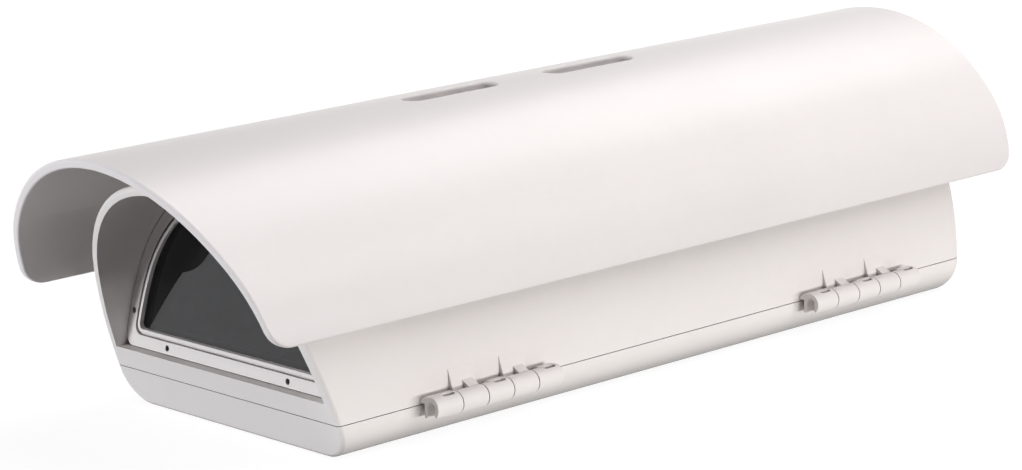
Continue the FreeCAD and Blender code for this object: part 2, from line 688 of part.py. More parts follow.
def top_bosses():
    """Bosses under the sunshield: the solids outside, the bores and the posts inside."""
    solids = []
    bores = []
    posts = []
    depth = "shield_insert - boss_rise"
    for key, y in POCKETS.items():
        solids.append(rod(f"top_boss_{key}", "boss_radius", "boss_rise + wall", "0", y, f"{CROWN} - wall"))
        bores.append(rod(f"top_bore_{key}", "shield_screw + insert_wall", "shield_insert + past", "0", y,
                         f"{CROWN} - ({depth})"))
        post = rod(f"inner_boss_{key}", "boss_radius", "shield_insert", "0", y,
                   f"{CROWN} - wall / 2 - shield_insert")
        bore = rod(f"inner_bore_{key}", "shield_screw + insert_wall", "shield_insert", "0", y,
                   f"{CROWN} - ({depth})")
        posts.append(cut(f"inner_boss_hollow_{key}", post, [bore]))
    return solids, bores, posts


def upright_panel(name, half_width, low, high, front, rear):
    """Upright panel across the rear, with its two upper corners rounded."""
    body = slab(name, [(f"-{half_width}", low), (half_width, low), (half_width, high),
                       (f"-{half_width}", high)], front, rear)
    top = value(high)
    side = value(half_width)
    round_edges(body, "opening_corner", lambda p: near(p.z, top) and near(abs(p.x), side))
    return body


def make_cover():
    foot = value(COVER_FOOT)
    rear = value("rear_reach")
    outer = arch_prism("cover_outer", COVER_ARCH, "0", COVER_FOOT, front_face, upright("rear_reach"))
    round_edges(outer, "rear_edge", lambda p: near(p.y, rear) and p.z > foot + SLACK)
    round_edges(outer, "front_edge", lambda p: near(p.y, value(front_face(p.z))) and p.z > foot + SLACK)
    under = f"{COVER_FOOT} - 3 * past"
    cavity = arch_prism("cover_cavity", COVER_ARCH, "wall", under,
                        window_face(f"{GASKET_BACK} + bulkhead"), upright(REAR_INSIDE))
    inside = value(REAR_INSIDE)
    round_edges(cavity, "rear_edge - wall", lambda p: near(p.y, inside) and p.z > value(under) + SLACK)
    recess = arch_prism("hood_recess", COVER_ARCH, "wall", "sill", upright(-FAR * 0.8),
                        window_face(GASKET_BACK))
    window = arch_prism("window_opening", COVER_ARCH, FRAME_OPENING, SILL_OPENING,
                        upright("-front_reach - rise"), upright("-front_reach + rise"), OPENING_CORNER)
    knuckles, bores = cover_knuckles()
    bosses, boss_bores, posts = top_bosses()
    solids = [outer] + knuckles + bosses
    holes = [cavity, recess, window] + bores + boss_bores
    for key, y in HINGES.items():
        solids.append(lug(f"cover_lug_{key}", y, COVER_FOOT, f"{COVER_FOOT} + lug_height"))
        holes.append(rod(f"cover_lug_bore_{key}", "closing_screw + lug_play", "lug_height + 2 * past",
                         LUG_X, y, f"{COVER_FOOT} - past"))
        holes.append(rod(f"cover_lug_seat_{key}", "closing_head + seat_play", "lug_height", LUG_X, y,
                         f"{COVER_FOOT} + lug_height / 2"))
    opening = upright_panel("rear_opening", "opening_half_width", "0", "opening_top",
                            f"{REAR_INSIDE} - seat_gap", "rear_reach + past")
    shell = cut("cover_hollow", fuse("cover_solids", solids), holes + [opening])
    pilots = window_rods("pilot", "window_screw", GASKET_BACK, f"{GASKET_BACK} + window_pilot")
    node(cut("cover_shell_solid", fuse("cover_whole", [shell] + posts), pilots), "cover_shell")


def window_rods(name, radius, start, end):
    """Rods square to the window at each of its screws, between two depths behind the frame's face."""
    rods = []
    for number, (x, z) in enumerate(WINDOW_SCREW_SPOTS):
        item = doc.addObject("Part::Cylinder", f"{name}_{number}")
        bind(item, "Radius", radius)
        bind(item, "Height", f"({end}) - ({start})")
        item.Placement = FreeCAD.Placement(FreeCAD.Vector(), FreeCAD.Rotation(FreeCAD.Vector(-1, 0, 0), 90))
        bind(item, "Placement.Rotation.Angle", "90 + window_tilt")
        bind(item, "Placement.Base.x", x)
        bind(item, "Placement.Base.y", f"{window_face('0')(f'({z})')} + ({start}) * cos(window_tilt)")
        bind(item, "Placement.Base.z", f"{z} - ({start}) * sin(window_tilt)")
        rods.append(item)
    return rods


# Window
def window_plate(name, inset, foot, near_depth, far_depth, corner):
    """Plate of the window's outline between two depths behind the frame's face."""
    return arch_prism(name, COVER_ARCH, inset, foot, window_face(near_depth), window_face(far_depth), corner)


def make_window():
    through = ("-5 * past", f"{GASKET_BACK} + 5 * past")
    outer = window_plate("frame_outer", FRAME_OUTER, "sill + frame_gap", "0",
                         f"{GASKET_BACK} - gasket_squeeze", "frame_corner")
    opening = window_plate("frame_hole", FRAME_OPENING, SILL_OPENING, *through, OPENING_CORNER)
    groove_out = window_plate("groove_out", GROOVE_OUTER, "sill + frame_strip", "-5 * past", "groove_depth",
                              "frame_corner - groove_corner_step")
    groove_in = window_plate("groove_in", GROOVE_INNER, "sill + frame_strip + frame_groove", *through,
                             "frame_corner - 2 * groove_corner_step")
    groove = cut("frame_groove_shape", groove_out, [groove_in])
    rebate = window_plate("frame_rebate", "wall + glass_margin - glass_play",
                          "sill + glass_margin - glass_play", "frame_plate", through[1], "frame_corner")
    holes = window_rods("frame_screw_hole", "window_screw", *through)
    sinks = window_rods("frame_screw_sink", "window_head + sink_play", "-past", "window_sink")
    node(cut("window_frame_solid", outer, [opening, groove, rebate] + holes + sinks), "window_frame")
    edge = ("wall + glass_margin", "sill + glass_margin")
    corner = "frame_corner - 2 * glass_play"
    node(window_plate("glass_plate", *edge, "frame_plate", GLASS_BACK, corner), "window_glass")
    gasket = window_plate("gasket_plate", *edge, GLASS_BACK, GASKET_BACK, corner)
    gasket_hole = window_plate("gasket_hole", FRAME_OPENING, SILL_OPENING, *through, OPENING_CORNER)
    node(cut("gasket_ring", gasket, [gasket_hole]), "window_gasket")
    shanks = window_rods("window_shank", "window_screw", "window_sink - window_head_height / 2",
                         f"{GASKET_BACK} + window_pilot")
    heads = window_rods("window_head", "window_head", "window_sink - window_head_height", "window_sink")
    screws = [fuse(f"window_screw_{i}", list(pair)) for i, pair in enumerate(zip(shanks, heads))]
    node(group("window_screw_group", screws), "window_screws")


# Sunshield's fixings
def ring(name, outside, inside, height, y, low, x="0"):
    """Upright ring about a screw."""
    body = rod(f"{name}_outside", outside, height, x, y, low)
    hole = rod(f"{name}_inside", inside, f"{height} + 2 * past", x, y, f"{low} - past")
    return cut(name, body, [hole])


def make_shield_fixings():
    boss_top = f"{CROWN} + boss_rise"
    spacer_height = f"{POCKET_UNDER} - seat_gap - ({boss_top})"
    washer_low = f"{POCKET_FLOOR} + seat_gap"
    head_low = f"{washer_low} + washer_thickness"
    inserts = []
    washers = []
    for key, y in POCKETS.items():
        spacer = ring(f"spacer_ring_{key}", "spacer_radius", "shield_screw", spacer_height, y, boss_top)
        node(spacer, f"shield_spacer_{key}")
        shank = rod(f"shield_shank_{key}", "shield_screw", "screw_length", "0", y,
                    f"{head_low} - screw_length")
        head = rod(f"shield_head_{key}", "shield_head", "low_head", "0", y, head_low)
        socket = hexagon(f"shield_socket_{key}", "shield_socket", "low_head", "0", y,
                         f"{head_low} + low_head / 2")
        whole = fuse(f"shield_screw_whole_{key}", [shank, head])
        node(cut(f"shield_screw_solid_{key}", whole, [socket]), f"shield_screw_{key}")
        washers.append(ring(f"washer_ring_{key}", "washer_radius", "shield_screw", "washer_thickness", y,
                            washer_low))
        inserts.append(ring(f"shield_insert_{key}", "shield_screw + insert_wall", "shield_screw",
                            "shield_insert", y, f"{boss_top} - shield_insert"))
    node(group("washer_group", washers), "shield_washers")
    node(group("shield_insert_group", inserts), "shield_inserts")


# Tray
def plan_prism(name, inset, low, high):
    """Plan outline of the body at the joint, set in by inset."""
    front = f"-front_reach + ({inset}) / cos(rake)"
    side_x = f"half_width - ({inset})"
    rear_y = f"rear_reach - ({inset})"
    corners = [(f"-({side_x})", front), (side_x, front), (side_x, rear_y), (f"-({side_x})", rear_y)]
    body = slab(name, corners, low, high, "XY_Plane")
    rear = value(rear_y)
    side = value(side_x)
    round_edges(body, f"rear_edge - ({inset})", lambda p: near(p.y, rear) and near(abs(p.x), side))
    return body


def tray_block(name, inset, low, front, rear):
    """Tray's outline with its rounded lower edges, set in by inset."""
    body = new_body(name)
    side = f"half_width - {inset}"
    top = TRAY_TOP if inset == "0" else f"{TRAY_TOP} + 5"
    corners = [(f"-({side})", low), (side, low), (side, top), (f"-({side})", top)]
    pad(body, polygon(body, "XZ_Plane", "section", corners, -FAR * 0.9), FAR * 1.8)
    level = value(low)
    half = value(side)
    round_edges(body, f"tray_edge - {inset}", lambda p: near(p.z, level) and near(abs(p.x), half))
    cut_ends(body, front, rear)
    end = value(rear("0"))
    limit = value(top) - SLACK
    round_edges(body, f"rear_edge - {inset}", lambda p: near(p.y, end) and p.z < limit)
    return body


TRAY_NECK_SHAPE = [
    (WALL_MIDDLE, f"{HINGE_Z} - 0.93 * knuckle_radius"),
    (HINGE_X, f"{HINGE_Z} - knuckle_radius"),
    (HINGE_X, TRAY_TOP),
    (WALL_MIDDLE, TRAY_TOP),
]
# Top of a raised neck, inside the circle that the opening cover sweeps about the hinge axis
TRAY_CREST_SHAPE = [
    ("half_width + 0.05 * hinge_out", f"{HINGE_Z} - 0.1 * knuckle_radius"),
    (HINGE_X, f"{HINGE_Z} - 0.1 * knuckle_radius"),
    (HINGE_X, f"{HINGE_Z} + 0.97 * knuckle_radius"),
    ("half_width + 0.5 * hinge_out", f"{HINGE_Z} + 0.95 * knuckle_radius"),
    ("half_width + 0.16 * hinge_out", f"{HINGE_Z} + 0.65 * knuckle_radius"),
    ("half_width + 0.05 * hinge_out", f"{HINGE_Z} + 0.05 * knuckle_radius"),
]


def tray_knuckles():
    """Tray's hinge knuckles with their necks, and the bores, core slots and mouths in them."""
    shapes = []
    holes = []
    under = f"{HINGE_Z} - knuckle_radius - past"
    for key, middle in HINGES.items():
        for number in (0, 2, 4):
            start = knuckle_start(middle, number)
            end = f"{start} + {KNUCKLE_LENGTH}"
            name = f"{key}_{number}"
            shapes.append(rod(f"tray_knuckle_{name}", "knuckle_radius", KNUCKLE_LENGTH,
                              HINGE_X, start, HINGE_Z, "Y"))
            shapes.append(slab(f"tray_neck_{name}", TRAY_NECK_SHAPE, start, end))
            raised = f"{start} + neck_lag" if number else start
            shapes.append(slab(f"tray_crest_{name}", TRAY_CREST_SHAPE, raised, end))
            holes.append(obround(f"core_slot_{name}", f"{HINGE_X} + core_offset", f"{end} - 0.7 * core_slot",
                                 "core_slot", "core_width", f"{KNUCKLE_TOP} - core_depth",
                                 f"{KNUCKLE_TOP} + past"))
        start = knuckle_start(middle, 0)
        along = (f"{start} - past", f"{start} + pin_inset")
        holes.append(rod(f"tray_bore_{key}", "pin_radius", f"{KNUCKLES} * knuckle_pitch + 2 * past", HINGE_X,
                         along[0], HINGE_Z, "Y"))
        holes.append(rod(f"mouth_{key}", "mouth_radius", "pin_inset + past", HINGE_X, along[0], HINGE_Z, "Y"))
        holes.append(box(f"mouth_slit_{key}", (f"{HINGE_X} - mouth_radius", f"{HINGE_X} + mouth_radius"),
                         along, (under, HINGE_Z)))
        holes.append(box(f"mouth_gap_{key}", ("half_width", f"{HINGE_X} - 0.85 * knuckle_radius"), along,
                         (under, f"{HINGE_Z} + 0.3 * knuckle_radius")))
    return shapes, holes


def floor_post(name, radius, x, y, top):
    return rod(name, radius, f"{top} - tray_floor / 2", x, y, "tray_floor / 2")


def corners_of(x, y_front, y_rear):
    return [(f"{s} * ({x})", y) for y in (y_front, y_rear) for s in (-1, 1)]


BOARD_REAR = "(rear_reach - board_back)"
BOARD_FRONT = "(rear_reach - board_back - board_length)"
HEATER_FRONT = "(heater_back - front_reach)"
BRACKET = corners_of("bracket_x / 2", "-bracket_y / 2", "bracket_y / 2")
PLATE_SCREWS = corners_of("plate_half_width - plate_margin", "-plate_front + plate_margin",
                          "plate_rear - plate_margin")
BOARD_SCREWS = corners_of("board_half_width - board_margin", f"{BOARD_FRONT} + board_margin",
                          f"{BOARD_REAR} - board_margin")
HEATER_SCREWS = [(f"{s} * (heater_half_width - heater_margin)", f"{HEATER_FRONT} + heater_depth / 2")
                 for s in (-1, 1)]
EARTH = ("-earth_x", "earth_y")
GLANDS = {"left": "-gland_pitch", "middle": "0", "right": "gland_pitch"}
PANEL_FACE = f"{REAR_INSIDE} - panel_gap"
LUG_BOTTOM = f"{TRAY_TOP} - lug_depth"
PILOT_DEPTH = "20"


def panel_frame(name, play, low, high):
    """Upright rectangular ring near the gland panel's edge, narrowed by play on every side."""
    edge = f"panel_edge + {play}"
    outside = box(f"{name}_outside", (f"-panel_half_width + {edge}", f"panel_half_width - ({edge})"),
                  (low, high), (f"split_height + {edge}", f"panel_top - ({edge})"))
    deep = f"panel_edge + seal_groove - {play}"
    inside = box(f"{name}_inside",
                 (f"-panel_half_width + {deep}", f"panel_half_width - ({deep})"),
                 (f"{low} - past", f"{high} + past"), (f"split_height + {deep}", f"panel_top - ({deep})"))
    return cut(name, outside, [inside])


def seal_ring(name, play, low, high):
    """Ring round the tray's rim, narrowed by play on every side."""
    outside = plan_prism(f"{name}_outside", f"seal_edge + {play}", low, high)
    inside = plan_prism(f"{name}_inside", f"seal_edge + seal_groove - {play}", f"{low} - past",
                        f"{high} + past")
    return cut(name, outside, [inside])


def tray_posts():
    """Posts on the tray's floor and the holes in them."""
    solids = []
    holes = []
    for number, (x, y) in enumerate(BRACKET):
        solids.append(floor_post(f"bracket_boss_{number}", "bracket_bore + insert_wall + boss_wall", x, y,
                                 "bracket_insert + past"))
        holes.append(rod(f"bracket_hole_{number}", "bracket_bore + insert_wall", "bracket_insert + past",
                         x, y, "-past"))
    levels = (("plate", PLATE_SCREWS, "plate_height"), ("board", BOARD_SCREWS, "board_height"),
              ("heater", HEATER_SCREWS, "tray_floor + heater_foot"), ("earth", [EARTH], "earth_height"))
    for label, spots, top in levels:
        for number, (x, y) in enumerate(spots):
            solids.append(floor_post(f"{label}_boss_{number}", "small_screw + boss_wall", x, y, top))
            holes.append(rod(f"{label}_pilot_{number}", "small_screw", PILOT_DEPTH, x, y, "tray_floor / 2"))
    return solids, holes


def make_tray():
    outer = tray_block("tray_outer", "0", "0", front_face, upright("rear_reach"))
    limit = value(TRAY_TOP) - SLACK
    round_edges(outer, "front_edge",
                lambda p: near(p.y, value(front_face(p.z))) and SLACK / 10 < p.z < limit)
    cavity = tray_block("tray_cavity", "wall", "tray_floor", front_inside, upright(REAR_INSIDE))
    hollow = cut("tray_hollow", outer, [cavity])
    panel = upright_panel("gland_panel", "panel_half_width", "tray_floor / 2", "panel_top",
                          f"{PANEL_FACE} - panel_thickness", PANEL_FACE)
    foot = box("panel_foot", ("-panel_half_width", "panel_half_width"),
               (PANEL_FACE, f"{REAR_INSIDE} + wall / 4"), ("tray_floor / 2", TRAY_TOP))
    knuckles, knuckle_holes = tray_knuckles()
    posts, post_holes = tray_posts()
    solids = [hollow, panel, foot] + knuckles + posts
    holes = knuckle_holes + post_holes
    for key, y in HINGES.items():
        solids.append(lug(f"tray_lug_{key}", y, LUG_BOTTOM, TRAY_TOP))
        holes.append(rod(f"tray_lug_bore_{key}", "closing_screw + closing_play + insert_wall", "lug_depth",
                         LUG_X, y, f"{LUG_BOTTOM} + lug_floor"))
    for key, x in GLANDS.items():
        holes.append(rod(f"gland_hole_{key}", "gland_thread", "panel_thickness + 2 * past", x,
                         f"{PANEL_FACE} - panel_thickness - past", "gland_height", "Y"))
    holes.append(seal_ring("seal_groove", "0", f"{TRAY_TOP} - seal_depth", f"{TRAY_TOP} + past"))
    holes.append(panel_frame("panel_groove", "0", f"{PANEL_FACE} - seal_depth", f"{PANEL_FACE} + past"))
    node(cut("tray_solid", fuse("tray_solids", solids), holes), "base_tray")


# Hinge pins, seals and inserts
def make_tray_fittings():
    pin_length = f"{KNUCKLES} * knuckle_pitch - knuckle_gap - pin_inset - 2 * past"
    for key, middle in HINGES.items():
        start = f"{knuckle_start(middle, 0)} + pin_inset"
        node(rod(f"pin_{key}", "pin_radius", pin_length, HINGE_X, start, HINGE_Z, "Y"), f"hinge_pin_{key}")
    node(seal_ring("rim_seal_ring", "seal_play", f"{TRAY_TOP} - seal_depth", TRAY_TOP), "rim_seal")
    node(panel_frame("panel_seal_ring", "seal_play", f"{PANEL_FACE} - seal_depth", PANEL_FACE), "panel_seal")
    inserts = [ring(f"bracket_insert_{number}", "bracket_bore + insert_wall", "bracket_bore",
                    "bracket_insert", y, "0", x) for number, (x, y) in enumerate(BRACKET)]
    node(group("bracket_insert_group", inserts), "bracket_inserts")
    sleeves = [ring(f"lug_insert_{key}", "closing_screw + closing_play + insert_wall",
                    "closing_screw + closing_play", "lug_depth - lug_floor - past / 2", y,
                    f"{LUG_BOTTOM} + lug_floor", LUG_X) for key, y in HINGES.items()]
    node(group("lug_insert_group", sleeves), "lug_inserts")


def make_closing_screws():
    seat = f"{COVER_FOOT} + lug_height / 2"
    tip = f"{COVER_FOOT} - split_gap - closing_reach"
    head_low = f"{seat} + seat_gap"
    for key, y in HINGES.items():
        shank = rod(f"closing_shank_{key}", "closing_screw", f"{head_low} - ({tip})", LUG_X, y, tip)
        head = rod(f"closing_head_{key}", "closing_head", "closing_head_height", LUG_X, y, head_low)
        socket = hexagon(f"closing_socket_{key}", "closing_socket", "closing_head_height", LUG_X, y,
                         f"{head_low} + closing_head_height - closing_socket_depth")
        whole = fuse(f"closing_whole_{key}", [shank, head])
        node(cut(f"closing_solid_{key}", whole, [socket]), f"closing_screw_{key}")


# Cable glands, each built from level rods and hexagons along Y
def make_gland_body(key, x):
    inside = f"{PANEL_FACE} - panel_thickness - gland_stem"
    stem = rod(f"gland_stem_{key}", "gland_thread", "panel_thickness + gland_stem", x, inside,
               "gland_height", "Y")
    flange = hexagon(f"gland_flange_{key}", "gland_hex", "gland_flange", x, PANEL_FACE, "gland_height", "Y")
    neck = rod(f"gland_neck_{key}", "gland_thread - gland_neck_step", "gland_neck", x,
               f"{PANEL_FACE} + gland_flange - past / 2", "gland_height", "Y")
    way = rod(f"gland_way_{key}", "gland_thread - gland_wall",
              "gland_stem + panel_thickness + gland_flange + gland_neck + 2 * past", x, f"{inside} - past",
              "gland_height", "Y")
    whole = fuse(f"gland_whole_{key}", [stem, flange, neck])
    return cut(f"gland_body_solid_{key}", whole, [way])


def make_gland_nut(key, x):
    start = f"{PANEL_FACE} + gland_flange + seat_gap"
    hexed = hexagon(f"gland_cap_hex_{key}", "gland_hex - hex_step", "cap_hex", x, start,
                    "gland_height", "Y")
    dome = cone(f"gland_cap_dome_{key}", "cap_shoulder", "gland_bore + cap_play + cap_lip", "cap_dome",
                x, f"{start} + cap_hex", "gland_height", "Y")
    hollow = rod(f"gland_cap_hollow_{key}", "gland_thread - gland_neck_step + pin_fit", "cap_hex + past", x,
                 f"{start} - past", "gland_height", "Y")
    mouth = rod(f"gland_cap_mouth_{key}", "gland_bore + cap_play", "cap_hex + cap_dome + 2 * past", x,
                f"{start} - past", "gland_height", "Y")
    whole = fuse(f"gland_cap_whole_{key}", [hexed, dome])
    return cut(f"gland_cap_solid_{key}", whole, [hollow, mouth])


def make_glands():
    locknuts = []
    seals = []
    nut_start = f"{PANEL_FACE} - panel_thickness - locknut"
    for key, x in GLANDS.items():
        node(make_gland_body(key, x), f"gland_body_{key}")
        node(make_gland_nut(key, x), f"gland_nut_{key}")
        plug = rod(f"gland_plug_{key}", "gland_thread - gland_wall", "gland_seal", x, PANEL_FACE,
                   "gland_height", "Y")
        eye = rod(f"gland_eye_{key}", "gland_bore", "gland_seal + 2 * past", x, f"{PANEL_FACE} - past",
                  "gland_height", "Y")
        seals.append(cut(f"gland_seal_{key}", plug, [eye]))
        nut = hexagon(f"locknut_hex_{key}", "gland_hex + hex_step", "locknut", x, nut_start,
                      "gland_height", "Y")
        thread = rod(f"locknut_thread_{key}", "gland_thread", "locknut + 2 * past", x, f"{nut_start} - past",
                     "gland_height", "Y")
        locknuts.append(cut(f"locknut_{key}", nut, [thread]))
    node(group("locknut_group", locknuts), "gland_locknuts")
    node(group("gland_seal_group", seals), "gland_seals")


# Camera plate and its sliding block
PLATE_TOP = "plate_height + plate_thickness"


def small_screws(name, spots, under_head, length):
    """Pan-head screws standing in the tray's posts."""
    screws = []
    for number, (x, y) in enumerate(spots):
        shank = rod(f"{name}_shank_{number}", "small_screw", f"{length} + small_head_height / 2", x, y,
                    f"{under_head} - {length}")
        head = rod(f"{name}_head_{number}", "small_head", "small_head_height", x, y, under_head)
        screws.append(fuse(f"{name}_{number}", [shank, head]))
    return group(f"{name}_group", screws)


def screw_holes(name, spots, low, thickness):
    return [rod(f"{name}_{number}", "small_screw", f"{thickness} + 2 * past", x, y, f"{low} - past")
            for number, (x, y) in enumerate(spots)]


SLIDE_MIDDLE = "(plate_rear - plate_front) / 2"
BLOCK_LOW = f"{PLATE_TOP} + seat_gap"
FLUTES = 12


def make_camera_plate():
    plate = box("plate_blank", ("-plate_half_width", "plate_half_width"), ("-plate_front", "plate_rear"),
                ("plate_height", PLATE_TOP))
    slot = obround("plate_slot", "0", SLIDE_MIDDLE, "2 * (camera_travel + camera_screw + camera_play)",
                   "2 * (camera_screw + camera_play)", "plate_height - past", f"{PLATE_TOP} + past")
    holes = screw_holes("plate_hole", PLATE_SCREWS, "plate_height", "plate_thickness")
    node(cut("plate_solid", plate, [slot] + holes), "camera_plate")
    node(small_screws("plate_screw", PLATE_SCREWS, PLATE_TOP, "plate_screw_reach"), "plate_screws")


def make_camera_block():
    half = "block_size / 2"
    ends = (f"{SLIDE_MIDDLE} - {half}", f"{SLIDE_MIDDLE} + {half}")
    corners = [(f"-{half}", ends[0]), (half, ends[0]), (half, ends[1]), (f"-{half}", ends[1])]
    body = slab("camera_block_body", corners, BLOCK_LOW, f"{BLOCK_LOW} + block_height", "XY_Plane")
    side = value(half)
    middle = value(SLIDE_MIDDLE)
    round_edges(body, "block_corner", lambda p: near(abs(p.x), side) and near(abs(p.y - middle), side))
    hole = rod("block_hole", "camera_shank + pin_fit", "block_height + 2 * past", "0", SLIDE_MIDDLE,
               f"{BLOCK_LOW} - past")
    node(cut("camera_block_solid", body, [hole]), "camera_block")


def make_camera_screw():
    """Knob under the plate, a plain shank through the slot and the block, and the camera's thread."""
    knob_top = "plate_height - seat_gap"
    stub_low = f"{BLOCK_LOW} + block_height + seat_gap"
    knob = rod("knob", "knob_radius", "knob_height", "0", SLIDE_MIDDLE, f"{knob_top} - knob_height")
    shank = rod("camera_shank_rod", "camera_shank", f"{stub_low} - ({knob_top}) + 2 * past", "0",
                SLIDE_MIDDLE, f"{knob_top} - past")
    stub = rod("camera_stub_rod", "camera_screw", "camera_stub", "0", SLIDE_MIDDLE, stub_low)
    turn = 360 / FLUTES
    flutes = [rod(f"flute_{i}", "knob_flute", "knob_height + 2 * past", f"knob_radius * cos({i * turn})",
                  f"{SLIDE_MIDDLE} + knob_radius * sin({i * turn})", f"{knob_top} - knob_height - past")
              for i in range(FLUTES)]
    whole = fuse("camera_screw_whole", [knob, shank, stub])
    node(cut("camera_screw_solid", whole, flutes), "camera_screw")


# Terminal board, heater and earth screw
def make_terminals():
    top = "board_height + board_thickness"
    blank = box("board_blank", ("-board_half_width", "board_half_width"), (BOARD_FRONT, BOARD_REAR),
                ("board_height", top))
    holes = screw_holes("board_hole", BOARD_SCREWS, "board_height", "board_thickness")
    node(cut("board_solid", blank, holes), "terminal_board")
    node(small_screws("board_screw", BOARD_SCREWS, top, "board_screw_reach"), "board_screws")
    count = int(value("2 * strip_half_length / strip_pitch"))
    strips = []
    for number, y in enumerate((f"{BOARD_FRONT} + strip_margin", f"{BOARD_REAR} - strip_margin")):
        body = box(f"strip_{number}", ("-strip_half_length", "strip_half_length"),
                   (f"{y} - strip_depth / 2", f"{y} + strip_depth / 2"), (top, f"{top} + strip_height"))
        well_low = f"{top} + strip_height - strip_well_depth"
        wells = [rod(f"strip_{number}_well_{i}", "strip_well", "strip_well_depth + past",
                     f"({i} + 0.5 - {count} / 2) * strip_pitch", y, well_low) for i in range(count)]
        strips.append(cut(f"strip_solid_{number}", body, wells))
    node(group("strip_group", strips), "terminal_strips")


def make_heater():
    low = "tray_floor + heater_foot"
    along = (f"{HEATER_FRONT} - past", f"{HEATER_FRONT} + heater_depth + past")
    upper = (f"{low} + heater_base", f"{low} + heater_height + past")
    block = box("heater_blank", ("-heater_half_width", "heater_half_width"),
                (HEATER_FRONT, f"{HEATER_FRONT} + heater_depth"), (low, f"{low} + heater_height"))
    finned = "2 * (heater_half_width - heater_margin - heater_step - fin_gap)"
    count = int(value(f"{finned} / fin_pitch"))
    gaps = []
    for i in range(count):
        middle = f"({i} + 0.5 - {count} / 2) * fin_pitch"
        gaps.append(box(f"fin_gap_{i}", (f"{middle} - fin_gap / 2", f"{middle} + fin_gap / 2"), along, upper))
    steps = [box(f"heater_step_{number}", (f"{x} - heater_step", f"{x} + heater_step"), along, upper)
             for number, (x, _) in enumerate(HEATER_SCREWS)]
    holes = screw_holes("heater_hole", HEATER_SCREWS, low, "heater_base")
    node(cut("heater_solid", block, gaps + steps + holes), "heater_block")
    screws = small_screws("heater_screw", HEATER_SCREWS, f"{low} + heater_base", "heater_screw_reach")
    node(screws, "heater_screws")
    node(small_screws("earth_screw", [EARTH], "earth_height", "heater_screw_reach"), "earth_screw")


make_sunshield()
make_cover()
make_window()
make_shield_fixings()
make_tray()
make_tray_fittings()
make_closing_screws()
make_glands()
make_camera_plate()
make_camera_block()
make_camera_screw()
make_terminals()
make_heater()
doc.recompute()

# Checks before writing
for item in doc.Objects:
    if "Invalid" in item.State or "Error" in item.State:
        raise RuntimeError(f"{item.Name}: {item.State}")
os.makedirs("parts", exist_ok=True)
for item in NODES:
    shape = item.Shape
    if shape.isNull() or not shape.isValid() or not shape.Solids:
        raise RuntimeError(f"{item.Label}: no valid solid")
    counts = f"solids {len(shape.Solids):2d}  faces {len(shape.Faces):3d}"
    print(f"{item.Label:24s} {counts}  volume {shape.Volume:10.1f}")
    shape.exportStep(f"parts/{item.Label}.step")
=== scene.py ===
import json
import math

import bmesh
import bpy
from mathutils import Matrix, Quaternion, Vector


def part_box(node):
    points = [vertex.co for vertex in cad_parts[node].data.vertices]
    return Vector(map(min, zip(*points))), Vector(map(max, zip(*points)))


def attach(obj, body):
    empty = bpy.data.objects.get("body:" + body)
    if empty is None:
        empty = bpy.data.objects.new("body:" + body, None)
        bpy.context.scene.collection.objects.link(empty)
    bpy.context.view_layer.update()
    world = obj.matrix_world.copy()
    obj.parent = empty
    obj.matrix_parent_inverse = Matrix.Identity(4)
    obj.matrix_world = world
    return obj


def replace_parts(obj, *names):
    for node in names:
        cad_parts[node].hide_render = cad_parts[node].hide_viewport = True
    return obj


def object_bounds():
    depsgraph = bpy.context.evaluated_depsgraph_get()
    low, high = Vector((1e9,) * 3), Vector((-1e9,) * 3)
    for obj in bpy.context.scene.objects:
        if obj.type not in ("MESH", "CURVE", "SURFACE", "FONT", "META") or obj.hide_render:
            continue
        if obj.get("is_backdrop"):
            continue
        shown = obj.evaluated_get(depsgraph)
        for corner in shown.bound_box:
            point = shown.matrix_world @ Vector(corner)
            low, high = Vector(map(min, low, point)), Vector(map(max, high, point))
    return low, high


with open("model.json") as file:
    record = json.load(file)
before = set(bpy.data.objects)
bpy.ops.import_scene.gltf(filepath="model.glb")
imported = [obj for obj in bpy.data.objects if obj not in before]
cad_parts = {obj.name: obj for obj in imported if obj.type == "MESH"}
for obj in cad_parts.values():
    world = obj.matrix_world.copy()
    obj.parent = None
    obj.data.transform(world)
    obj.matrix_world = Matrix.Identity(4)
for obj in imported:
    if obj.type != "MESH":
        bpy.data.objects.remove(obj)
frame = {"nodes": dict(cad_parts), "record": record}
cad_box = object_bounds()
nodes = frame["nodes"]
MM = 0.001


# Materials
def srgb(*levels):
    """Linear colour of three 0-255 display levels."""
    linear = [(v / 255 / 12.92) if v <= 10 else ((v / 255 + 0.055) / 1.055) ** 2.4 for v in levels]
    return (*linear, 1.0)


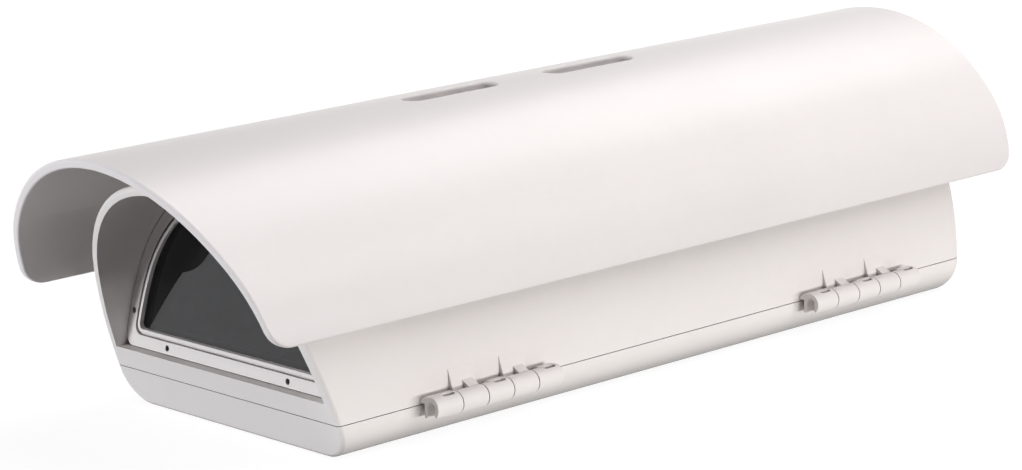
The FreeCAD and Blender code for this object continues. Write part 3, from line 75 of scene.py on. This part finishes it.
class Shader:
    """A node material with one Principled shader and helpers for its procedural detail."""

    def __init__(self, name, **inputs):
        self.material = bpy.data.materials.new(name)
        self.material.use_nodes = True
        self.tree = self.material.node_tree
        self.principled = self.tree.nodes["Principled BSDF"]
        for key, amount in inputs.items():
            self.principled.inputs[key.replace("_", " ")].default_value = amount

    def add(self, kind, **settings):
        item = self.tree.nodes.new(kind)
        for key, amount in settings.items():
            if key in item.inputs:
                item.inputs[key].default_value = amount
            else:
                setattr(item, key, amount)
        return item

    def link(self, source, target):
        self.tree.links.new(source, target)

    def noise(self, scale, detail=3.0, roughness=0.5, stretch=(1, 1, 1)):
        """Noise over the part's own coordinates; scale is in cells per metre."""
        place = self.add("ShaderNodeTexCoord")
        mapping = self.add("ShaderNodeMapping")
        mapping.inputs["Scale"].default_value = stretch
        self.link(place.outputs["Object"], mapping.inputs["Vector"])
        texture = self.add("ShaderNodeTexNoise", Scale=scale, Detail=detail, Roughness=roughness)
        self.link(mapping.outputs["Vector"], texture.inputs["Vector"])
        return texture.outputs["Fac"]

    def ramp(self, source, low, high, start=0.35, end=0.65):
        """Map a factor to a range of values or between two colours."""
        if isinstance(low, tuple):
            item = self.add("ShaderNodeValToRGB")
            first, last = item.color_ramp.elements
            first.position, last.position = start, end
            first.color, last.color = low, high
            self.link(source, item.inputs["Fac"])
            return item.outputs["Color"]
        item = self.add("ShaderNodeMapRange")
        for key, amount in (("From Min", start), ("From Max", end), ("To Min", low), ("To Max", high)):
            item.inputs[key].default_value = amount
        self.link(source, item.inputs["Value"])
        return item.outputs["Result"]

    def multiply(self, first, second):
        item = self.add("ShaderNodeMix", data_type="RGBA", blend_type="MULTIPLY")
        item.inputs["Factor"].default_value = 1.0
        self.link(first, item.inputs["A"])
        self.link(second, item.inputs["B"])
        return item.outputs["Result"]

    def bump(self, source, depth, strength=1.0):
        """Add surface relief of a depth in metres on top of what is there."""
        item = self.add("ShaderNodeBump", Strength=strength, Distance=depth)
        self.link(source, item.inputs["Height"])
        normal = self.principled.inputs["Normal"]
        if normal.links:
            self.link(normal.links[0].from_socket, item.inputs["Normal"])
        self.link(item.outputs["Normal"], normal)

    def painted_crevice_shade(self, shade, reach=4 * MM):
        """Painted shade: the colour darkened by ambient occlusion in narrow gaps and inner corners, white on
        open surfaces.
        """
        item = self.add("ShaderNodeAmbientOcclusion", samples=8, Distance=reach)
        return self.ramp(item.outputs["AO"], shade, (1.0, 1.0, 1.0, 1.0), start=0.12, end=0.5)

    def set(self, socket, source):
        self.link(source, self.principled.inputs[socket])


def tinted(color, factor):
    return tuple(min(c * factor, 1.0) for c in color[:3]) + (1.0,)


def moulded(name, color, roughness, grain=0.02 * MM, variation=0.02, grain_scale=2600,
            specular=0.5, crevice_shade=None):
    """Moulded plastic: slight mottling, uneven gloss, a fine grain, a soft flow and painted shade darkening
    crevices and inner corners.
    """
    shader = Shader(name, Roughness=roughness, IOR=1.5, Specular_IOR_Level=specular)
    cloud = shader.noise(14, 4, 0.6)
    fine = shader.noise(220, 3, 0.6)
    base = shader.ramp(cloud, tinted(color, 1 - variation), tinted(color, 1 + variation / 2), 0.3, 0.7)
    speck = shader.ramp(fine, tinted((1, 1, 1), 1 - variation / 2), tinted((1, 1, 1), 1.0), 0.3, 0.6)
    color = shader.multiply(base, speck)
    # Painted shade: ambient occlusion darkens the colour in crevices and inner corners
    if crevice_shade:
        color = shader.multiply(color, shader.painted_crevice_shade(crevice_shade))
    shader.set("Base Color", color)
    shader.set("Roughness", shader.ramp(fine, roughness - 0.04, roughness + 0.05, 0.3, 0.7))
    shader.bump(shader.noise(grain_scale, 2, 0.5), grain, 0.6)
    shader.bump(shader.noise(9, 2, 0.4, (1, 0.35, 1)), 0.6 * MM, 0.12)
    return shader.material


def metal(name, color, roughness, grain=(1, 1, 30)):
    """Machined or drawn metal with fine lines and tarnish in patches."""
    shader = Shader(name, Metallic=1.0)
    lines = shader.noise(900, 2, 0.6, grain)
    patch = shader.noise(60, 4, 0.6)
    shader.set("Base Color", shader.ramp(patch, tinted(color, 0.82), tinted(color, 1.05), 0.3, 0.7))
    shader.set("Roughness", shader.ramp(lines, roughness - 0.07, roughness + 0.1, 0.3, 0.7))
    shader.bump(lines, 0.01 * MM, 0.5)
    return shader.material


def rubber(name, color):
    shader = Shader(name, Roughness=0.7, Specular_IOR_Level=0.35)
    dust = shader.noise(180, 4, 0.7)
    shader.set("Base Color", shader.ramp(dust, tinted(color, 0.8), tinted(color, 1.5), 0.35, 0.75))
    shader.set("Roughness", shader.ramp(dust, 0.6, 0.8))
    shader.bump(shader.noise(1800, 2, 0.5), 0.03 * MM, 0.5)
    return shader.material


def glass(name):
    """Window glass, lightly tinted, with a trace of haze and dust."""
    shader = Shader(name, IOR=1.5, Roughness=0.0, Transmission_Weight=1.0)
    dust = shader.noise(90, 6, 0.75)
    fine = shader.noise(900, 2, 0.5)
    haze = shader.ramp(dust, srgb(84, 86, 96), srgb(98, 100, 110), 0.4, 0.7)
    shader.set("Base Color", haze)
    shader.set("Roughness", shader.ramp(fine, 0.0, 0.03, 0.5, 0.75))
    return shader.material


def board(name):
    """Lacquered board with tracks and a weave under the lacquer."""
    shader = Shader(name, Roughness=0.32, IOR=1.5, Coat_Weight=0.4, Coat_Roughness=0.12)
    place = shader.add("ShaderNodeTexCoord")
    tracks = shader.add("ShaderNodeTexBrick", Scale=170.0, offset=0.5)
    tracks.inputs["Color1"].default_value = srgb(18, 78, 44)
    tracks.inputs["Color2"].default_value = srgb(22, 88, 50)
    tracks.inputs["Mortar"].default_value = srgb(40, 112, 66)
    tracks.inputs["Mortar Size"].default_value = 0.03
    shader.link(place.outputs["Object"], tracks.inputs["Vector"])
    shader.set("Base Color", tracks.outputs["Color"])
    shader.bump(tracks.outputs["Fac"], 0.04 * MM, 0.6)
    shader.bump(shader.noise(2500, 2, 0.5), 0.01 * MM, 0.4)
    return shader.material


# Colour of the painted shade in crevices and inner corners of the housing and sunshield
CREVICE_SHADE_COLOR = srgb(116, 104, 102)
MATERIALS = {
    "white_housing": moulded("housing_plastic", srgb(232, 227, 223), 0.48, specular=0.35, crevice_shade=CREVICE_SHADE_COLOR),
    "white_sunshield": moulded("sunshield_plastic", srgb(233, 228, 225), 0.36, crevice_shade=CREVICE_SHADE_COLOR),
    "window_glass": glass("window_glass"),
    "black_rubber": rubber("black_rubber", srgb(26, 26, 27)),
    "dark_steel": metal("blackened_steel", srgb(112, 110, 108), 0.45),
    "stainless": metal("stainless_steel", srgb(186, 185, 182), 0.3),
    "brass": metal("brass", srgb(196, 160, 92), 0.32),
    "grey_nylon": moulded("grey_nylon", srgb(150, 152, 154), 0.5, 0.03 * MM, 0.05, 1800),
    "aluminium": metal("aluminium_sheet", srgb(196, 198, 200), 0.38, (1, 30, 1)),
    "black_plastic": moulded("black_plastic", srgb(38, 38, 39), 0.5, 0.03 * MM, 0.12, 1800),
    "green_board": board("terminal_board"),
    "terminal_plastic": moulded("terminal_plastic", srgb(176, 180, 176), 0.45, variation=0.05),
}
for part in frame["record"]["subparts"]:
    slots = nodes[part["node"]].data.materials
    slots.clear()
    slots.append(MATERIALS[part["material_slot"]])

SLOTS = {part["node"]: part["material_slot"] for part in frame["record"]["subparts"]}
BODIES = {node: body for body, held in frame["record"]["behaviour"]["bodies"].items() for node in held}
WINDOW_TILT = math.radians(7)
WINDOW_OUT = Vector((0, -math.cos(WINDOW_TILT), math.sin(WINDOW_TILT)))
UPWARD = Vector((0, 0, 1))
BACKWARD = Vector((0, 1, 0))


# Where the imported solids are
def packed_shape(node):
    """Placed copy of a node's mesh with its split points joined."""
    shape = bmesh.new()
    shape.from_mesh(nodes[node].data)
    shape.transform(nodes[node].matrix_world)
    bmesh.ops.remove_doubles(shape, verts=shape.verts, dist=1e-6)
    return shape


def solids(node):
    """Points of each separate solid of a node."""
    shape = packed_shape(node)
    seen = set()
    groups = []
    for first in shape.verts:
        if first in seen:
            continue
        seen.add(first)
        stack = [first]
        group = []
        while stack:
            vertex = stack.pop()
            group.append(vertex.co.copy())
            others = [edge.other_vert(vertex) for edge in vertex.link_edges]
            linked = [other for other in others if other not in seen]
            seen.update(linked)
            stack.extend(linked)
        groups.append(group)
    shape.free()
    return groups


def axis_frame(points, up):
    """Place of a turned solid: a frame at its upper end with Z along up, its length and its radius."""
    middle = sum(points, Vector()) / len(points)
    heights = [(p - middle).dot(up) for p in points]
    radius = max((p - middle - up * h).length for p, h in zip(points, heights))
    turn = up.to_track_quat("Z", "Y").to_matrix().to_4x4()
    place = Matrix.Translation(middle + up * max(heights)) @ turn
    return place, max(heights) - min(heights), radius


# Turned pieces, made of rings of points about Z: each ring is a height and a radius or radius function
def hexagonal(across, corner_radius):
    """Hexagon with a corner at angle 0, its corners turned down to a radius."""
    return lambda angle: min(across / 2 / math.cos(angle % (math.pi / 3) - math.pi / 6), corner_radius)


def crossed(reach, width):
    """Cross with four arms."""
    def radius(angle):
        off = abs((angle + math.pi / 4) % (math.pi / 2) - math.pi / 4)
        return min(reach / math.cos(off), width / 2 / max(math.sin(off), 1e-6))
    return radius


def slotted(reach, width):
    """Straight slot."""
    def radius(angle):
        off = abs((angle + math.pi / 2) % math.pi - math.pi / 2)
        return min(reach, width / 2 / max(math.sin(off), 1e-6))
    return radius


def fluted(radius, depth, count):
    """Circle with shallow flutes round it."""
    return lambda angle: radius - depth * abs(math.sin(count * angle / 2)) ** 3


def scaled(outline, share):
    return lambda angle: outline(angle) * share


def ridge(radius, pitch, depth, height):
    """Section of a thread at a height."""
    return lambda angle: radius - depth * abs(2 * ((height / pitch - angle / (2 * math.pi)) % 1) - 1)


def thread(radius, pitch, start, end, depth=None):
    """Rings of a thread from one height to another, faded in and out; a negative depth is an inner thread."""
    deep = 0.55 * pitch if depth is None else depth
    rows = max(6, round(abs(end - start) / pitch * 6))
    rings = []
    for i in range(rows + 1):
        height = start + (end - start) * i / rows
        rings.append((height, ridge(radius, pitch, deep * min(1, i / 4, (rows - i) / 4), height)))
    return rings


def rounded(radius, edge, steps=4):
    """Rings of a rounded rim whose top is at height 0, from its side to its top."""
    angles = [math.pi / 2 * i / steps for i in range(steps + 1)]
    return [(edge * math.sin(a) - edge, radius - edge + edge * math.cos(a)) for a in angles]


def turned(rings, count=48, closed=False):
    """Points and faces of stacked rings, capped at both ends or joined end to end."""
    angles = [2 * math.pi * i / count for i in range(count)]
    points = []
    for height, radius in rings:
        sizes = [radius(a) if callable(radius) else radius for a in angles]
        points += [Vector((s * math.cos(a), s * math.sin(a), height)) for s, a in zip(sizes, angles)]
    total = len(rings)
    faces = []
    for k in range(total if closed else total - 1):
        low, high = k * count, (k + 1) % total * count
        faces += [(low + i, low + (i + 1) % count, high + (i + 1) % count, high + i) for i in range(count)]
    if not closed:
        faces += [tuple(reversed(range(count))), tuple(range((total - 1) * count, total * count))]
    return points, faces


def add_piece(name, slot, body, shapes, sharp=40):
    """One object from placed shapes, each a frame with its points and faces."""
    points, faces = [], []
    for place, (local, patches) in shapes:
        first = len(points)
        points += [place @ p for p in local]
        faces += [tuple(first + i for i in patch) for patch in patches]
    mesh = bpy.data.meshes.new(name)
    mesh.from_pydata(points, [], faces)
    mesh.shade_smooth()
    mesh.set_sharp_from_angle(angle=math.radians(sharp))
    mesh.materials.append(MATERIALS[slot])
    obj = bpy.data.objects.new(name, mesh)
    bpy.context.scene.collection.objects.link(obj)
    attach(obj, body)
    return obj


def stand_for(node, shapes, sharp=40):
    """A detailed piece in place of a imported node."""
    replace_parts(add_piece(f"{node}_detailed", SLOTS[node], BODIES[node], shapes, sharp), node)


# Screws, with their origin at the top of the head
SMALL_HEAD = 2.8 * MM
SMALL_SCREW = {"head_height": 2.0 * MM, "shank": 1.5 * MM, "pitch": 0.5 * MM}
WINDOW_HEAD = 1.15 * MM
WINDOW_SCREW = {"head_height": 1.2 * MM, "shank": 1.0 * MM, "pitch": 0.4 * MM}
SHIELD_SOCKET = 3.0 * MM
SHIELD_SCREW = {"head_height": 1.8 * MM, "shank": 2.5 * MM, "pitch": 0.8 * MM, "dome": 0.45}
CLOSING_SOCKET = 4.0 * MM
CLOSING_SCREW = {"head_height": 4.6 * MM, "shank": 2.5 * MM, "pitch": 0.8 * MM,
                 "plain": 6 * MM, "grip": 0.16 * MM, "dome": 0.1}


def screw(length, head, recess, head_height, shank, pitch, plain=0.0, grip=0.0, dome=0.35):
    """Screw with a recess in its head, a thread below a plain length, and perhaps a grip round the head."""
    under = -head_height
    edge = head_height * dome
    point = -length + shank * 0.3
    chamfer = 0.1 * MM
    side = fluted(head, grip, 28) if grip else head
    rings = [(-length, shank * 0.72), (point, shank * 0.98)]
    rings += thread(shank, pitch, point, under - plain)
    rings += [(under, shank), (under, head - chamfer), (under + chamfer, side), (-edge, side)]
    rings += rounded(head, edge)[1:]
    rings += [(0, recess), (-0.45 * head_height, scaled(recess, 0.9))]
    rings += [(-0.6 * head_height, scaled(recess, 0.5))]
    return turned(rings, 72)


def make_cross_screws(node, up, widest, form):
    """Screws with a cross recess."""
    shapes = []
    for points in solids(node):
        place, length, head = axis_frame(points, up)
        head = min(head, widest)
        cross = crossed(0.55 * head, 0.28 * head)
        shapes.append((place, screw(length, head, cross, **form)))
    stand_for(node, shapes)


def make_socket_screws(kind, across, form):
    """The front and the rear screw of a kind with a hexagonal socket."""
    socket = hexagonal(across, across)
    for end in ("front", "rear"):
        node = f"{kind}_{end}"
        place, length, head = axis_frame(solids(node)[0], UPWARD)
        stand_for(node, [(place, screw(length, head, socket, **form))])


def make_screws():
    make_cross_screws("window_screws", WINDOW_OUT, WINDOW_HEAD, WINDOW_SCREW)
    for node in ("plate_screws", "board_screws", "heater_screws", "earth_screw"):
        make_cross_screws(node, UPWARD, SMALL_HEAD, SMALL_SCREW)
    make_socket_screws("shield_screw", SHIELD_SOCKET, SHIELD_SCREW)
    make_socket_screws("closing_screw", CLOSING_SOCKET, CLOSING_SCREW)


# Cable glands, along Y with their origin at the rear end
GLAND_CHAMFER = 0.5 * MM
PANEL_THREAD = 8 * MM
PANEL_PITCH = 1.5 * MM
NUT_THREAD = 7.2 * MM
NUT_PITCH = 1.2 * MM
NUT_BORE = 7.25 * MM
NUT_MOUTH = 4.6 * MM
SEAL_BORE = 4.0 * MM


def hexagon_pair(across, corner, chamfered_corner):
    """Full and chamfered outline of a hexagon."""
    return hexagonal(across, corner), hexagonal(across, chamfered_corner)


def gland_body(length):
    """Body with a thread for the panel, a hexagonal flange and a thread for the cap nut."""
    neck = 4.5 * MM
    under = -neck - 4.5 * MM
    bore = 5.8 * MM
    tip = -length + 0.6 * MM
    full, chamfered = hexagon_pair(20 * MM, 11.2 * MM, 10.4 * MM)
    rings = [(-length, 7.4 * MM), (tip, PANEL_THREAD)]
    rings += thread(PANEL_THREAD, PANEL_PITCH, tip, under, 0.75 * MM)
    rings += [(under, chamfered), (under + GLAND_CHAMFER, full)]
    rings += [(-neck - GLAND_CHAMFER, full), (-neck, chamfered), (-neck, NUT_THREAD)]
    rings += thread(NUT_THREAD, NUT_PITCH, -neck, -0.3 * MM, 0.5 * MM)
    rings += [(0, 6.8 * MM), (0, bore), (-length, bore)]
    return turned(rings, 96, True)


def gland_nut(length):
    """Cap nut with a ribbed dome."""
    dome, widest, taper = 4.0 * MM, 9.3 * MM, 3.3 * MM
    rib_depth, steps = 0.35 * MM, 8
    full, chamfered = hexagon_pair(19 * MM, 10.7 * MM, 9.9 * MM)
    rings = [(-length, chamfered), (-length + GLAND_CHAMFER, full), (-dome - 0.6 * MM, full)]
    for i in range(steps + 1):
        share = i / steps
        size = widest - taper * share ** 2.2
        ribs = rib_depth * math.sin(math.pi * min(1, share * 1.15)) if share < 1 else 0
        rings.append((-dome + dome * share, fluted(size, ribs, 24)))
    rings += [(0, NUT_MOUTH), (-dome, NUT_MOUTH), (-dome, NUT_BORE), (-length, NUT_BORE)]
    return turned(rings, 144, True)


def gland_locknut(length):
    """Thin hexagonal nut with an inner thread."""
    full, chamfered = hexagon_pair(21 * MM, 11.8 * MM, 10.9 * MM)
    rings = [(-length, chamfered), (-length + GLAND_CHAMFER, full), (-GLAND_CHAMFER, full), (0, chamfered)]
    rings += thread(PANEL_THREAD, PANEL_PITCH, 0, -length, -0.3 * MM)
    return turned(rings, 96, True)


def gland_seal(length, radius):
    """Rubber sleeve with lips round its bore."""
    lips, valley = 6, 4.5 * MM
    rings = [(-length, radius), (-GLAND_CHAMFER, radius), (0, radius - GLAND_CHAMFER), (0, NUT_MOUTH)]
    for i in range(lips):
        top = -length * i / lips
        rings += [(top - 0.4 * MM, SEAL_BORE), (top - 0.8 * MM, SEAL_BORE), (top - 1.2 * MM, valley)]
    rings += [(-length, valley)]
    return turned(rings, 64, True)


def make_glands():
    for side in ("left", "middle", "right"):
        for kind, shape in (("gland_body", gland_body), ("gland_nut", gland_nut)):
            place, length, _ = axis_frame(solids(f"{kind}_{side}")[0], BACKWARD)
            stand_for(f"{kind}_{side}", [(place, shape(length))])
    locknuts = []
    for points in solids("gland_locknuts"):
        place, length, _ = axis_frame(points, BACKWARD)
        locknuts.append((place, gland_locknut(length)))
    stand_for("gland_locknuts", locknuts)
    seals = []
    for points in solids("gland_seals"):
        place, length, radius = axis_frame(points, BACKWARD)
        seals.append((place, gland_seal(length, radius)))
    stand_for("gland_seals", seals)


# Camera screw: a fluted knob, a plain shank and the camera's thread
CAMERA_THREAD = 3.175 * MM
CAMERA_PITCH = 1.27 * MM


def make_camera_screw():
    place, length, _ = axis_frame(solids("camera_screw")[0], UPWARD)
    knob, rim, shoulder = 9 * MM, 8.2 * MM, 7.6 * MM
    height, shank, stub = 5.5 * MM, 2.5 * MM, 5.2 * MM
    bevel, edge = 0.2 * MM, 0.9 * MM
    top = -length + height
    grip = fluted(knob, 0.5 * MM, 36)
    slit = slotted(6 * MM, 1.6 * MM)
    rings = [(-length + 1.4 * MM, scaled(slit, 0.95)), (-length, slit), (-length, shoulder)]
    rings += [(-length + bevel, rim), (-length + edge, grip), (top - edge, grip)]
    rings += [(top - bevel, rim), (top, shoulder), (top, shank), (-stub, shank), (-stub, 2.9 * MM)]
    rings += thread(CAMERA_THREAD, CAMERA_PITCH, -stub + 0.3 * MM, -0.5 * MM)
    rings += [(0, 2.5 * MM)]
    stand_for("camera_screw", [(place, turned(rings, 108))])


# Brass inserts with inner threads and chamfered mouths
INSERT_PITCH = 0.8 * MM
INSERT_DEPTH = 0.35 * MM
INSERT_MOUTH = 0.5 * MM


def make_inserts():
    small, large = (2.5 * MM, 4.1 * MM), (3.2 * MM, 4.8 * MM)
    sizes = {"shield_inserts": small, "bracket_inserts": small, "lug_inserts": large}
    for node, (bore, outside) in sizes.items():
        shapes = []
        for points in solids(node):
            place, length, _ = axis_frame(points, UPWARD)
            mouth = bore + INSERT_MOUTH
            rings = [(-length, mouth), (-length, outside), (0, outside), (0, mouth)]
            rings += thread(bore, INSERT_PITCH, -INSERT_MOUTH, -length + INSERT_MOUTH, -INSERT_DEPTH)
            shapes.append((place, turned(rings, 64, True)))
        stand_for(node, shapes)


# Clamp screws in the wells of the terminal strips, each turned another way
def make_clamps():
    low, high = (Vector(corner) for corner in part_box("terminal_strips"))
    pitch, depth, well = 6 * MM, 9 * MM, 4 * MM
    tall, radius, slot_width = 1.6 * MM, 1.7 * MM, 0.5 * MM
    rings = [(-tall, radius), (-0.3 * MM, radius), (0, 1.4 * MM)]
    rings += [(0, slotted(1.35 * MM, slot_width)), (-0.7 * MM, slotted(1.3 * MM, slot_width))]
    count = round((high.x - low.x) / pitch)
    shapes = []
    for y in (low.y + depth / 2, high.y - depth / 2):
        for i in range(count):
            spot = Vector((low.x + (i + 0.5) * pitch, y, high.z - well + tall))
            turn = Matrix.Rotation(0.7 * i + 40 * y, 4, "Z")
            shapes.append((Matrix.Translation(spot) @ turn, turned(rings, 48)))
    add_piece("terminal_clamps", "stainless", "base", shapes)


# Window: a thinner lip, smaller sinks and the glass closer behind the frame's face
LIP_DEPTH = 3.0 * MM
GROOVE_DEPTH = 1.6 * MM
LIP_SHIFT = 1.2 * MM
GROOVE_SHIFT = 0.3 * MM
SINK_RADII = (1.2 * MM, 1.7 * MM)
SINK_DEPTH = 2.3 * MM
SINK_SHARE = 0.2
PLANE_WIDTH = 0.05 * MM


def shifted(node, moves, sinks=()):
    """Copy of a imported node, its planes at these depths moved forward and its sinks made smaller."""
    out = WINDOW_OUT
    nearest, farthest = SINK_RADII
    shape = packed_shape(node)
    front = max(v.co.dot(out) for v in shape.verts)
    for vertex in shape.verts:
        depth = front - vertex.co.dot(out)
        for place in sinks:
            off = vertex.co - place.translation
            off -= out * off.dot(out)
            if nearest < off.length < farthest and depth < SINK_DEPTH:
                vertex.co -= off * SINK_SHARE
        for plane, forward in moves.items():
            if abs(depth - plane) < PLANE_WIDTH:
                vertex.co += out * forward
    shape.verts.index_update()
    points = [v.co.copy() for v in shape.verts]
    faces = [tuple(v.index for v in face.verts) for face in shape.faces]
    shape.free()
    stand_for(node, [(Matrix(), (points, faces))], 30)


def make_window():
    sinks = [axis_frame(points, WINDOW_OUT)[0] for points in solids("window_screws")]
    shifted("window_frame", {GROOVE_DEPTH: GROOVE_SHIFT, LIP_DEPTH: LIP_SHIFT}, sinks)
    shifted("window_glass", {0: LIP_SHIFT, LIP_DEPTH: LIP_SHIFT})
    shifted("window_gasket", {0: LIP_SHIFT})


make_window()
make_screws()
make_glands()
make_camera_screw()
make_inserts()
make_clamps()


# Camera, fitted to the outlines in the photo
IMAGE = (1022, 470)
SENSOR = 36.0
FOCAL_PIXELS = 3384.7
AZIMUTH, ELEVATION, ROLL = (math.radians(a) for a in (47.830, 12.8145, -1.8978))
AIM = Vector((0.0019, -0.0203, 0.0503))
DISTANCE = 1.350


def make_camera():
    level = Vector((math.sin(AZIMUTH), -math.cos(AZIMUTH), 0)) * math.cos(ELEVATION)
    back = level + Vector((0, 0, math.sin(ELEVATION)))
    data = bpy.data.cameras.new("camera")
    data.sensor_width = SENSOR
    data.lens = FOCAL_PIXELS / IMAGE[0] * SENSOR
    data.clip_start = 0.05
    data.clip_end = 50
    camera = bpy.data.objects.new("camera", data)
    turn = back.to_track_quat("Z", "Y") @ Quaternion((0, 0, 1), ROLL)
    camera.rotation_mode = "QUATERNION"
    camera.rotation_quaternion = turn
    camera.location = AIM + back * DISTANCE
    bpy.context.scene.collection.objects.link(camera)
    bpy.context.scene.camera = camera


# Studio: a pale floor, a world that shows white, and soft lamps
def shows_background(tree):
    """Socket that is 1 for rays that see the background rather than light the object."""
    path = tree.nodes.new("ShaderNodeLightPath")
    total = path.outputs["Is Camera Ray"]
    for name in ("Is Glossy Ray", "Is Transmission Ray"):
        either = tree.nodes.new("ShaderNodeMath")
        either.operation = "MAXIMUM"
        tree.links.new(total, either.inputs[0])
        tree.links.new(path.outputs[name], either.inputs[1])
        total = either.outputs[0]
    return total


def make_world(ambient):
    world = bpy.data.worlds.new("studio")
    world.use_nodes = True
    tree = world.node_tree
    tree.nodes.clear()
    seen = tree.nodes.new("ShaderNodeBackground")
    seen.inputs["Color"].default_value = (1, 1, 1, 1)
    lighting = tree.nodes.new("ShaderNodeBackground")
    lighting.inputs["Color"].default_value = srgb(212, 204, 255)
    lighting.inputs["Strength"].default_value = ambient
    mix = tree.nodes.new("ShaderNodeMixShader")
    output = tree.nodes.new("ShaderNodeOutputWorld")
    tree.links.new(shows_background(tree), mix.inputs["Fac"])
    tree.links.new(lighting.outputs[0], mix.inputs[1])
    tree.links.new(seen.outputs[0], mix.inputs[2])
    tree.links.new(mix.outputs[0], output.inputs["Surface"])
    bpy.context.scene.world = world


def make_floor(size, albedo, glow, share):
    """Floor that shows near white and still takes the object's shadow."""
    mesh = bpy.data.meshes.new("floor")
    half = size / 2
    level = -0.2 * MM
    corners = [(-half, -half, level), (half, -half, level), (half, half, level), (-half, half, level)]
    mesh.from_pydata(corners, [], [(0, 1, 2, 3)])
    floor = bpy.data.objects.new("floor", mesh)
    material = bpy.data.materials.new("floor")
    material.use_nodes = True
    tree = material.node_tree
    tree.nodes.clear()
    plain = tree.nodes.new("ShaderNodeBsdfDiffuse")
    plain.inputs["Color"].default_value = (albedo, albedo, albedo, 1)
    faint = tree.nodes.new("ShaderNodeBsdfDiffuse")
    faint.inputs["Color"].default_value = (share, share, share, 1)
    light = tree.nodes.new("ShaderNodeEmission")
    light.inputs["Strength"].default_value = glow
    both = tree.nodes.new("ShaderNodeAddShader")
    mix = tree.nodes.new("ShaderNodeMixShader")
    output = tree.nodes.new("ShaderNodeOutputMaterial")
    tree.links.new(faint.outputs[0], both.inputs[0])
    tree.links.new(light.outputs[0], both.inputs[1])
    tree.links.new(shows_background(tree), mix.inputs["Fac"])
    tree.links.new(plain.outputs[0], mix.inputs[1])
    tree.links.new(both.outputs[0], mix.inputs[2])
    tree.links.new(mix.outputs[0], output.inputs["Surface"])
    mesh.materials.append(material)
    bpy.context.scene.collection.objects.link(floor)
    floor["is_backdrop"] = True


def make_lamp(name, towards, distance, size, power, color, glare=False, upward=False):
    """Soft rectangular lamp in a direction from the object, aimed at it or upward, mirrored in it or not."""
    data = bpy.data.lights.new(name, "AREA")
    data.shape = "RECTANGLE"
    data.size, data.size_y = size
    data.energy = power
    data.color = color
    lamp = bpy.data.objects.new(name, data)
    direction = Vector(towards).normalized()
    lamp.rotation_mode = "QUATERNION"
    flip = Quaternion((1, 0, 0), math.pi)
    lamp.rotation_quaternion = flip if upward else direction.to_track_quat("Z", "Y")
    lamp.location = direction * distance
    lamp.visible_camera = False
    lamp.visible_glossy = glare
    bpy.context.scene.collection.objects.link(lamp)


make_camera()
make_world(ambient=0.085)
make_floor(size=14, albedo=0.2, glow=0.93, share=0.15)
make_lamp("key", (-0.14, 0.50, 0.9), 1.6, (0.9, 1.4), 12.3, (1.0, 0.985, 0.97), glare=True)
make_lamp("top_fill", (0.75, 0.30, 0.85), 1.6, (0.9, 1.4), 11, (1.0, 0.985, 0.97), glare=True)
make_lamp("front_fill", (-0.35, -1.0, 0.07), 1.8, (0.5, 0.5), 30, (0.93, 0.96, 1.0))
make_lamp("back_fill", (-0.70, 1.0, 0.05), 1.8, (1.2, 0.8), 12, (0.97, 0.98, 1.0))
make_lamp("side_fill", (1.0, 0.10, 0.03), 1.8, (1.2, 0.12), 17.5, (1.0, 0.99, 0.99), glare=True)
make_lamp("table_glow", (1.0, 0.0, 0.02), 0.095, (0.05, 0.42), 0.032, (1.0, 0.99, 0.98), upward=True)

bpy.context.scene.view_settings.view_transform = "Standard"


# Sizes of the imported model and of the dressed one
def plain(box):
    return [[float(v) for v in corner] for corner in box]


{"cad": plain(cad_box), "visual": plain(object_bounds())}
